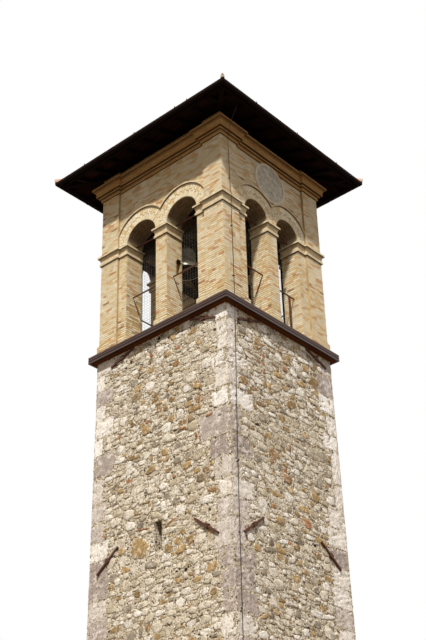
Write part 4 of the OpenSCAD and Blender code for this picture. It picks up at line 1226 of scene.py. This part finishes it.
def clear_of(circles):
    """Stretches of a course that lie outside the circles, given as (middle, height, radius)."""

    def free(start, end, z):
        """The stretches left at one height."""
        stretches = [(start, end)]
        for u, height, radius in circles:
            if abs(z - height) >= radius:
                continue
            half = math.sqrt(radius**2 - (z - height) ** 2)
            parts = []
            for first, last in stretches:
                parts += [(first, min(last, u - half)), (max(first, u + half), last)]
            stretches = [p for p in parts if p[1] > p[0]]
        return stretches

    return free


def clear_of_niche(start, end, z):
    """Stretches of the centre pier's right reveal that leave its round-headed niche open."""
    middle, half = (NICHE_Y[0] + NICHE_Y[1]) / 2, (NICHE_Y[1] - NICHE_Y[0]) / 2
    if not NICHE_Z[0] < z < NICHE_Z[1]:
        return [(start, end)]
    over = z - (NICHE_Z[1] - half)
    open_half = half if over < 0 else math.sqrt(half**2 - over**2)
    return [(start, middle - open_half), (middle + open_half, end)]


def clear_of_weep(start, end, z):
    """Stretches of the right upper pilaster that leave its weep slot open."""
    if not WEEP_Z[0] - 0.01 < z < WEEP_Z[1] + 0.01:
        return [(start, end)]
    return [(start, WEEP_X - 0.013), (WEEP_X + 0.013, end)]


def worn_patch(u, z):
    """The weathered part of the front left reveal, where bricks have fallen out."""
    return 20.0 < z < 21.4 and u > -2.05 + 0.25 * math.sin(6 * z)


def bent(s, sign, radius, theta, out, least=-math.inf, most=math.inf):
    """Points bent round one arch of a side, between two distances from its middle."""
    u = np.clip(radius * np.cos(theta), least, most)
    if np.ptp(u) < 0.01:
        return []
    z = SPRING_Z + radius * np.sin(theta)
    return [np.outer(sign * (s.centre + u), s.along) + np.outer(out, s.out) + np.outer(z, UP)]


def arch_copies(unit, s, sign, count, bricks, draw):
    """The bricks of one arch: first its two rings, cut where the arches meet, and then its underside."""
    base = unit_faces(unit)[0]
    joint, face = bricks.joint, s.wall + RING_OUT
    deep = (face - s.inner) / SOFFIT_ROWS
    thetas = [math.pi / count * (k + 0.5 + base[:, 0] * ARCH_BRICK_WIDE) for k in range(count)]
    laid = []
    for k, theta in enumerate(thetas):
        for near, far in ((0, RING_SPLIT[k % 2]), (RING_SPLIT[k % 2], RING_W)):
            radius = s.radius + near + (0.5 + base[:, 1]) * (far - near - joint) + joint / 2
            out = face - BRICK_BACK + base[:, 2] * (BRICK_BACK + bricks.proud * draw.uniform(0.5, 1.5))
            laid += bent(s, sign, radius, theta, out, -s.centre + 0.003, s.pier - s.centre - 0.003)
    yield laid
    laid = []
    for theta in thetas:
        for row in range(SOFFIT_ROWS):
            radius = s.radius + BRICK_BACK - base[:, 2] * (BRICK_BACK + bricks.proud * draw.uniform(0.4, 1.2))
            out = face - deep * (row + 0.5) + base[:, 1] * (deep - joint)
            laid += bent(s, sign, radius, theta, out)
    yield laid


class TOWER_OT_brickwork(bpy.types.Operator):
    """Lays the facing bricks of the belfry: pilasters, walls, piers, reveals and arches"""

    bl_idname = "tower.brickwork"
    bl_label = "Brickwork"

    def execute(self, context):
        bricks, seed = context.scene.tower_bricks, context.scene.tower_stage.seed
        unit = brick_unit()
        for i in range(4):
            draw = np.random.default_rng(seed * 20 + i)
            s, face = side(i), BrickFace(bricks, draw)
            for foot, top, out in ((SILL_Z, BASE_SHOULDER_Z, BASE_OUT), (BASE_Z, IMPOST_Z, 0.0)):
                wall = (s.out * (s.wall + out), s.along, s.out)
                for sign in (-1, 1):
                    face.corner(s, sign, out, foot, top)
                    face.panel(*wall, *sorted((sign * (s.jamb - out), sign * (s.pier - out))), foot, top)
                face.panel(*wall, -s.mid - out, s.mid + out, foot, top)
                for u, facing in ((-s.jamb, 1), (-s.mid, -1), (s.mid, 1), (s.jamb, -1)):
                    reveal = (s.along * (u + facing * out), -s.out, s.along * facing)
                    niche = clear_of_niche if i == 0 and u == s.mid else None
                    worn = worn_patch if i == 0 and u == -s.jamb else None
                    face.panel(*reveal, -s.wall - out, -s.inner, foot, top, niche, gone=worn)
            for sign in (-1, 1):
                face.corner(s, sign, 0.0, SPRING_Z, CORNICE_Z, clear_of_weep if i == 0 and sign > 0 else None)
            circles = [(sign * s.centre, SPRING_Z, s.radius + RING_W + 0.01) for sign in (-1, 1)]
            circles += [(0.0, DISC_Z, DISC_R - 0.02)] if i == 1 else []
            wall = (s.out * s.wall, s.along, s.out)
            face.panel(*wall, -s.pier, s.pier, SPRING_Z, CORNICE_Z, clear_of(circles))
            join_copies(f"facing_bricks_{i}", [copies(unit, face.laid)], MATERIALS["brick"])
            arches, tints = [], []
            for sign in (-1, 1):
                for laid in arch_copies(unit, s, sign, ARCH_BRICKS[i % 2], bricks, draw):
                    arches += laid
                    tints += [face.tint() * 0.75 for _ in laid]
            groups = [(unit, np.array(arches), tints)]
            piece = join_copies(f"arch_bricks_{i}", groups, MATERIALS["brick"])
            edit_piece(piece, bpy.ops.mesh.normals_make_consistent, inside=False)
        drop_units(unit)
        return {"FINISHED"}


# Roof


def roof_plane(i):
    """A roof slope: its side, foot at the fascia, axes up and off it, half length, run and length."""
    s = side(i)
    up_slope = (UP * math.sin(PITCH) - s.out * math.cos(PITCH)).normalized()
    off_slope = (UP * math.cos(PITCH) + s.out * math.sin(PITCH)).normalized()
    run = FASCIA[1 - i % 2]
    return s, s.out * run + UP * EAVE_Z, up_slope, off_slope, FASCIA[i % 2], run / math.cos(PITCH)


def trim_to_hips(piece, i, gap=0.004):
    """Cuts a piece of one slope along its two hips and at the ridge."""
    s, foot, _, _, half, _ = roof_plane(i)
    for sign in (-1, 1):
        inwards = (s.along * sign - s.out).normalized()
        cut_away(piece, foot + s.along * (sign * half) - inwards * gap, inwards)
    cut_away(piece, s.out * gap, -s.out)


def slope_tiles(roof, draw, i):
    """Columns of cover tiles with columns of channel tiles between them, from the eaves up."""
    s, foot, up_slope, off_slope, half, slope = roof_plane(i)
    count = math.ceil(half / roof.tile_spacing)
    lengthways = (up_slope - off_slope * 0.03).normalized()
    laid = []
    for k in range(-2 * count, 2 * count + 1):
        # A channel tile lies deeper, on its back
        seat, way, bulge = (0.046, -1, 0.48) if k % 2 else (0.024, 1, 0.7)
        u, at = k * roof.tile_spacing / 2, -0.03
        while at < min(slope, (half - abs(u)) / math.cos(PITCH) + 0.2):
            lift = BOARD_T + seat + draw.uniform(-0.003, 0.002)
            radius = roof.tile_radius * draw.uniform(0.96, 1.03)
            across = (s.along + up_slope * draw.normal(0, 0.012)).normalized()
            place = foot + s.along * (u + draw.normal(0, 0.003)) + up_slope * at + off_slope * lift
            laid.append((
                place, across * (way * radius), lengthways * TILE_LONG, off_slope * (way * radius) * bulge,
                draw.beta(2, 2.4),
            ))
            at += roof.tile_gauge
    return laid


def hip_line_tiles(draw):
    """Half-round tiles up the four hips, and three on the ridge."""
    top = (BOARD_T + TILE_T) / math.cos(PITCH)
    ridge = Vector((FASCIA[0] - FASCIA[1], 0, EAVE_Z + top + FASCIA[1] * math.tan(PITCH)))
    tail = Vector((FASCIA[0] + HIP_OVER, -FASCIA[1] - HIP_OVER, EAVE_Z + top - HIP_OVER * math.tan(PITCH)))
    laid = []
    for sx in (-1, 1):
        for sy in (-1, 1):
            here = Vector((tail.x * sx, tail.y * sy, tail.z))
            line = Vector((ridge.x * sx, 0, ridge.z)) - here
            span, at = line.length, 0.0
            line.normalize()
            flat = Vector((line.y, -line.x, 0)).normalized()
            off = flat.cross(line)
            off = off if off.z > 0 else -off
            while at < span - 0.1:
                # The lowest tile is a narrow end tile that stands a little higher
                narrow, high = (0.5, 1.45) if at == 0 else (1.0, 1.0)
                laid.append((
                    here + line * at - off * 0.004, flat * HIP_TILE_HALF * narrow * draw.uniform(0.97, 1.03),
                    (line - off * 0.035).normalized() * min(HIP_TILE_LONG, span - at + 0.05),
                    off * HIP_TILE_HIGH * high,
                    END_TILE_TINT if at == 0 else draw.beta(2, 2.4),
                ))
                at += HIP_GAUGE
    for k in range(3):
        place = Vector((-ridge.x - 0.12 + 0.2 * k, 0, ridge.z))
        axes = [Vector(axis) for axis in ((0, 0.125, 0), (0.3, 0, -0.006), (0, 0, 0.11))]
        laid.append((place, *axes, draw.beta(2, 2.4)))
    return laid


class TOWER_OT_roof_tiles(bpy.types.Operator):
    """Lays channel and cover tiles on the four slopes and along the hips and the ridge"""

    bl_idname = "tower.roof_tiles"
    bl_label = "Roof tiles"

    def execute(self, context):
        roof = context.scene.tower_roof
        draw = np.random.default_rng(context.scene.tower_stage.seed * 30)
        unit, plug = tile_unit(0.8), plug_unit()
        pieces = []
        for i in range(4):
            groups = [copies(unit, slope_tiles(roof, draw, i))]
            pieces.append(join_copies(f"roof_tiles_{i}", groups, MATERIALS["tile"]))
            trim_to_hips(pieces[i], i)
        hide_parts("roof_tiles_front_back")
        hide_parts("roof_tiles_sides")
        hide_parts("roof_tiles_front_back")
        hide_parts("roof_tiles_sides")
        laid = hip_line_tiles(draw)
        piece = join_copies("hip_tiles", [copies(unit, laid)], MATERIALS["tile"])
        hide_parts("hip_and_ridge_tiles")
        fills = [
            (place + up * 0.02, along * PLUG_FIT, up * 0.12, out * PLUG_FIT, 0.0)
            for place, along, up, out, tint in laid if tint == END_TILE_TINT
        ]
        join_copies("hip_end_mortar", [copies(plug, fills)], MATERIALS["pebbly"])
        drop_units(unit, plug)
        return {"FINISHED"}


class TOWER_OT_roof_planks(bpy.types.Operator):
    """Lays the boards on the rafters, side by side from the eaves up"""

    bl_idname = "tower.roof_planks"
    bl_label = "Roof boards"

    def execute(self, context):
        wide = context.scene.tower_roof.plank
        draw = np.random.default_rng(context.scene.tower_stage.seed * 40)
        unit = block_unit()
        pieces = []
        for i in range(4):
            s, foot, up_slope, off_slope, half, slope = roof_plane(i)
            laid = []
            for row in range(math.ceil(slope / wide)):
                first = -half
                while first < half:
                    long = draw.uniform(1.8, 3.6)
                    middle = foot + s.along * (first + long / 2) + up_slope * ((row + 0.5) * wide)
                    middle = middle + off_slope * (BOARD_T / 2)
                    laid.append((
                        middle, s.along * (long - 0.004), up_slope * (wide - 0.005),
                        off_slope * (BOARD_T - draw.uniform(0, 0.004)), np.clip(draw.normal(0.45, 0.2), 0, 1),
                    ))
                    first += long
            pieces.append(join_copies(f"roof_planks_{i}", [copies(unit, laid)], MATERIALS["plank"]))
            trim_to_hips(pieces[i], i, 0.002)
        for i, piece in enumerate(pieces):
            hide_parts("roof_boards_front_back" if i % 2 == 0 else "roof_boards_sides")
        drop_units(unit)
        return {"FINISHED"}


# Bird guards


class TOWER_OT_bird_guards(bpy.types.Operator):
    """Stretches a square mesh of wires across each opening, inside its reveals"""

    bl_idname = "tower.bird_guards"
    bl_label = "Bird guards"

    def execute(self, context):
        metal = context.scene.tower_metal
        # One length of wire: a three-sided rod one long and one thick
        unit = shape_done(primitive("cylinder", vertices=3, radius=0.5, depth=1, end_fill_type="NOTHING"))
        for i in range(4):
            draw = np.random.default_rng(context.scene.tower_stage.seed * 50 + i)
            s = side(i)
            wide, deep, laid = s.radius - GUARD_CLEAR, s.inner + GUARD_IN, []
            for sign in (-1, 1):
                phase = draw.uniform(0, 6.3, 4)

                def at(u, z):
                    """A point of the guard, which bellies a little."""
                    bend = 0.012 * math.sin(2.1 * z + phase[0]) + 0.008 * math.sin(7 * u + phase[1])
                    drift = 0.006 * math.sin(3.1 * z + phase[2])
                    return s.along * (sign * s.centre + u + drift) + s.out * (deep + bend) + UP * z

                def wire(points):
                    """A bent wire of straight lengths from point to point."""
                    for a, b in zip(points, points[1:]):
                        across = (b - a).cross(s.out).normalized()
                        laid.append(((a + b) / 2, across * metal.wire, s.out * metal.wire, b - a, 0.0))

                count = int(2 * wide / metal.mesh_pitch)
                for k in range(1, count):
                    u = -wide + k * 2 * wide / count
                    top = SPRING_Z + math.sqrt(max(wide**2 - u**2, 0))
                    wire([at(u, SILL_Z + (top - SILL_Z) * j / 12) for j in range(13)])
                z = SILL_Z + metal.mesh_pitch
                while z < SPRING_Z + wide:
                    half = wide if z < SPRING_Z else math.sqrt(wide**2 - (z - SPRING_Z) ** 2)
                    if half > 0.03:
                        wire([at(-half + 2 * half * j / 5, z) for j in range(6)])
                    z += metal.mesh_pitch
            join_copies(f"bird_guards_{i}", [copies(unit, laid)], MATERIALS["wire"])
        drop_units(unit)
        return {"FINISHED"}


# Stage


def sun_lamp(name, strength, width, colour, direction):
    """A lamp as far off as the sun, and the direction that it shines from."""
    light = bpy.data.lights.new(name, "SUN")
    light.energy, light.angle, light.color = strength, width, linear(colour)[:3]
    lamp = bpy.data.objects.new(name, light)
    bpy.context.scene.collection.objects.link(lamp)
    lamp.rotation_euler = Vector(direction).to_track_quat("Z", "Y").to_euler()


def aimed(azimuth, pitch, roll):
    """The turn of a camera that looks an angle left of +Y and an angle up, and leans by its roll."""
    east, north = math.cos(azimuth), math.sin(azimuth)
    ahead = Vector((-north * math.cos(pitch), east * math.cos(pitch), math.sin(pitch)))
    level = Vector((east, north, 0))
    above = level.cross(ahead)
    right = level * math.cos(roll) + above * math.sin(roll)
    top = -level * math.sin(roll) + above * math.cos(roll)
    return Matrix((right, top, -ahead)).transposed().to_4x4()


class TOWER_OT_stage(bpy.types.Operator):
    """Sets the floor, the lights and the camera at the photograph's angle"""

    bl_idname = "tower.stage"
    bl_label = "Floor, light and camera"

    def execute(self, context):
        scene, stage = context.scene, context.scene.tower_stage
        floor = primitive("plane", size=stage.floor, location=(0, 0, 0))
        floor.name = "floor"
        material, tree, _ = start_material("pale_floor")
        seen = put(tree, "LightPath", get="Is Camera Ray")
        colour = put(tree, "Mix", seen, "82705a", "d0cfcb", data_type="RGBA")
        floor.data.materials.append(end_material(material, colour))
        floor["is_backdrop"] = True
        sun_lamp("key_light", stage.sun, stage.sun_size, "fffaf2", (0.553, -0.834, 1.255))
        sun_lamp("side_light", stage.side, math.radians(80), "e6ecff", (0.78, -0.12, 0.62))
        # White behind the tower and in what it mirrors, and a dimmer, warm white as its light
        world = scene.world = bpy.data.worlds.new("studio")
        world.use_nodes = True
        tree = world.node_tree
        tree.nodes.clear()
        kinds = ("Is Camera Ray", "Is Glossy Ray", "Is Transmission Ray")
        camera_ray, mirrored, through = (put(tree, "LightPath", get=kind) for kind in kinds)
        seen = put(tree, "Math", mirrored, through, operation="MAXIMUM")
        seen = put(tree, "Math", camera_ray, seen, operation="MAXIMUM")
        plain = put(tree, "Background", "fff3e6", stage.fill)
        white = put(tree, "Background", "ffffff", 1.0)
        put(tree, "OutputWorld", put(tree, "MixShader", seen, plain, white), get=ALL)
        lens = bpy.data.cameras.new("camera")
        lens.sensor_width = lens.sensor_height = 36
        lens.sensor_fit = "AUTO"
        lens.lens, lens.clip_end = CAMERA_LENS, 500
        camera = scene.camera = bpy.data.objects.new("camera", lens)
        scene.collection.objects.link(camera)
        camera.matrix_world = Matrix.Translation(CAMERA_PLACE) @ aimed(*map(math.radians, CAMERA_TURN))
        scene.view_settings.view_transform = "Standard"
        return {"FINISHED"}


class TOWER_PT_panel(bpy.types.Panel):
    """Lists the tower's operators and settings"""

    bl_label = "Bell tower"
    bl_idname = "TOWER_PT_panel"
    bl_space_type = "VIEW_3D"
    bl_region_type = "UI"
    bl_category = "Tower"

    def draw(self, context):
        for group in SETTINGS:
            settings, box = getattr(context.scene, group), self.layout.box()
            for name in settings.bl_rna.properties.keys():
                if name not in ("rna_type", "name"):
                    box.prop(settings, name)
        for operator in OPERATORS:
            self.layout.operator(operator.bl_idname)


OPERATORS = (
    TOWER_OT_stage,
    TOWER_OT_finishes,
    TOWER_OT_quoins,
    TOWER_OT_rubble,
    TOWER_OT_brickwork,
    TOWER_OT_roof_tiles,
    TOWER_OT_roof_planks,
    TOWER_OT_bird_guards,
)
SETTINGS = {
    "tower_bricks": TowerBricks,
    "tower_stones": TowerStones,
    "tower_roof": TowerRoof,
    "tower_metal": TowerMetal,
    "tower_stage": TowerStage,
}
CLASSES = (*SETTINGS.values(), *OPERATORS, TOWER_PT_panel)


def register():
    """Adds the operators, the panel and the settings."""
    for each in CLASSES:
        bpy.utils.register_class(each)
    for name, group in SETTINGS.items():
        setattr(bpy.types.Scene, name, PointerProperty(type=group))


def unregister():
    """Takes the operators, the panel and the settings away."""
    for name in SETTINGS:
        delattr(bpy.types.Scene, name)
    for each in reversed(CLASSES):
        bpy.utils.unregister_class(each)


def main():
    """Builds every piece in turn and measures the size of the model and of the whole."""
    cad_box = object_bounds()
    register()
    for operator in OPERATORS:
        module, name = operator.bl_idname.split(".")
        getattr(getattr(bpy.ops, module), name)()
    boxes = {"cad": cad_box, "visual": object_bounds()}
    plain = {name: [list(map(float, corner)) for corner in box] for name, box in boxes.items()}


if __name__ == "__main__":
    main()
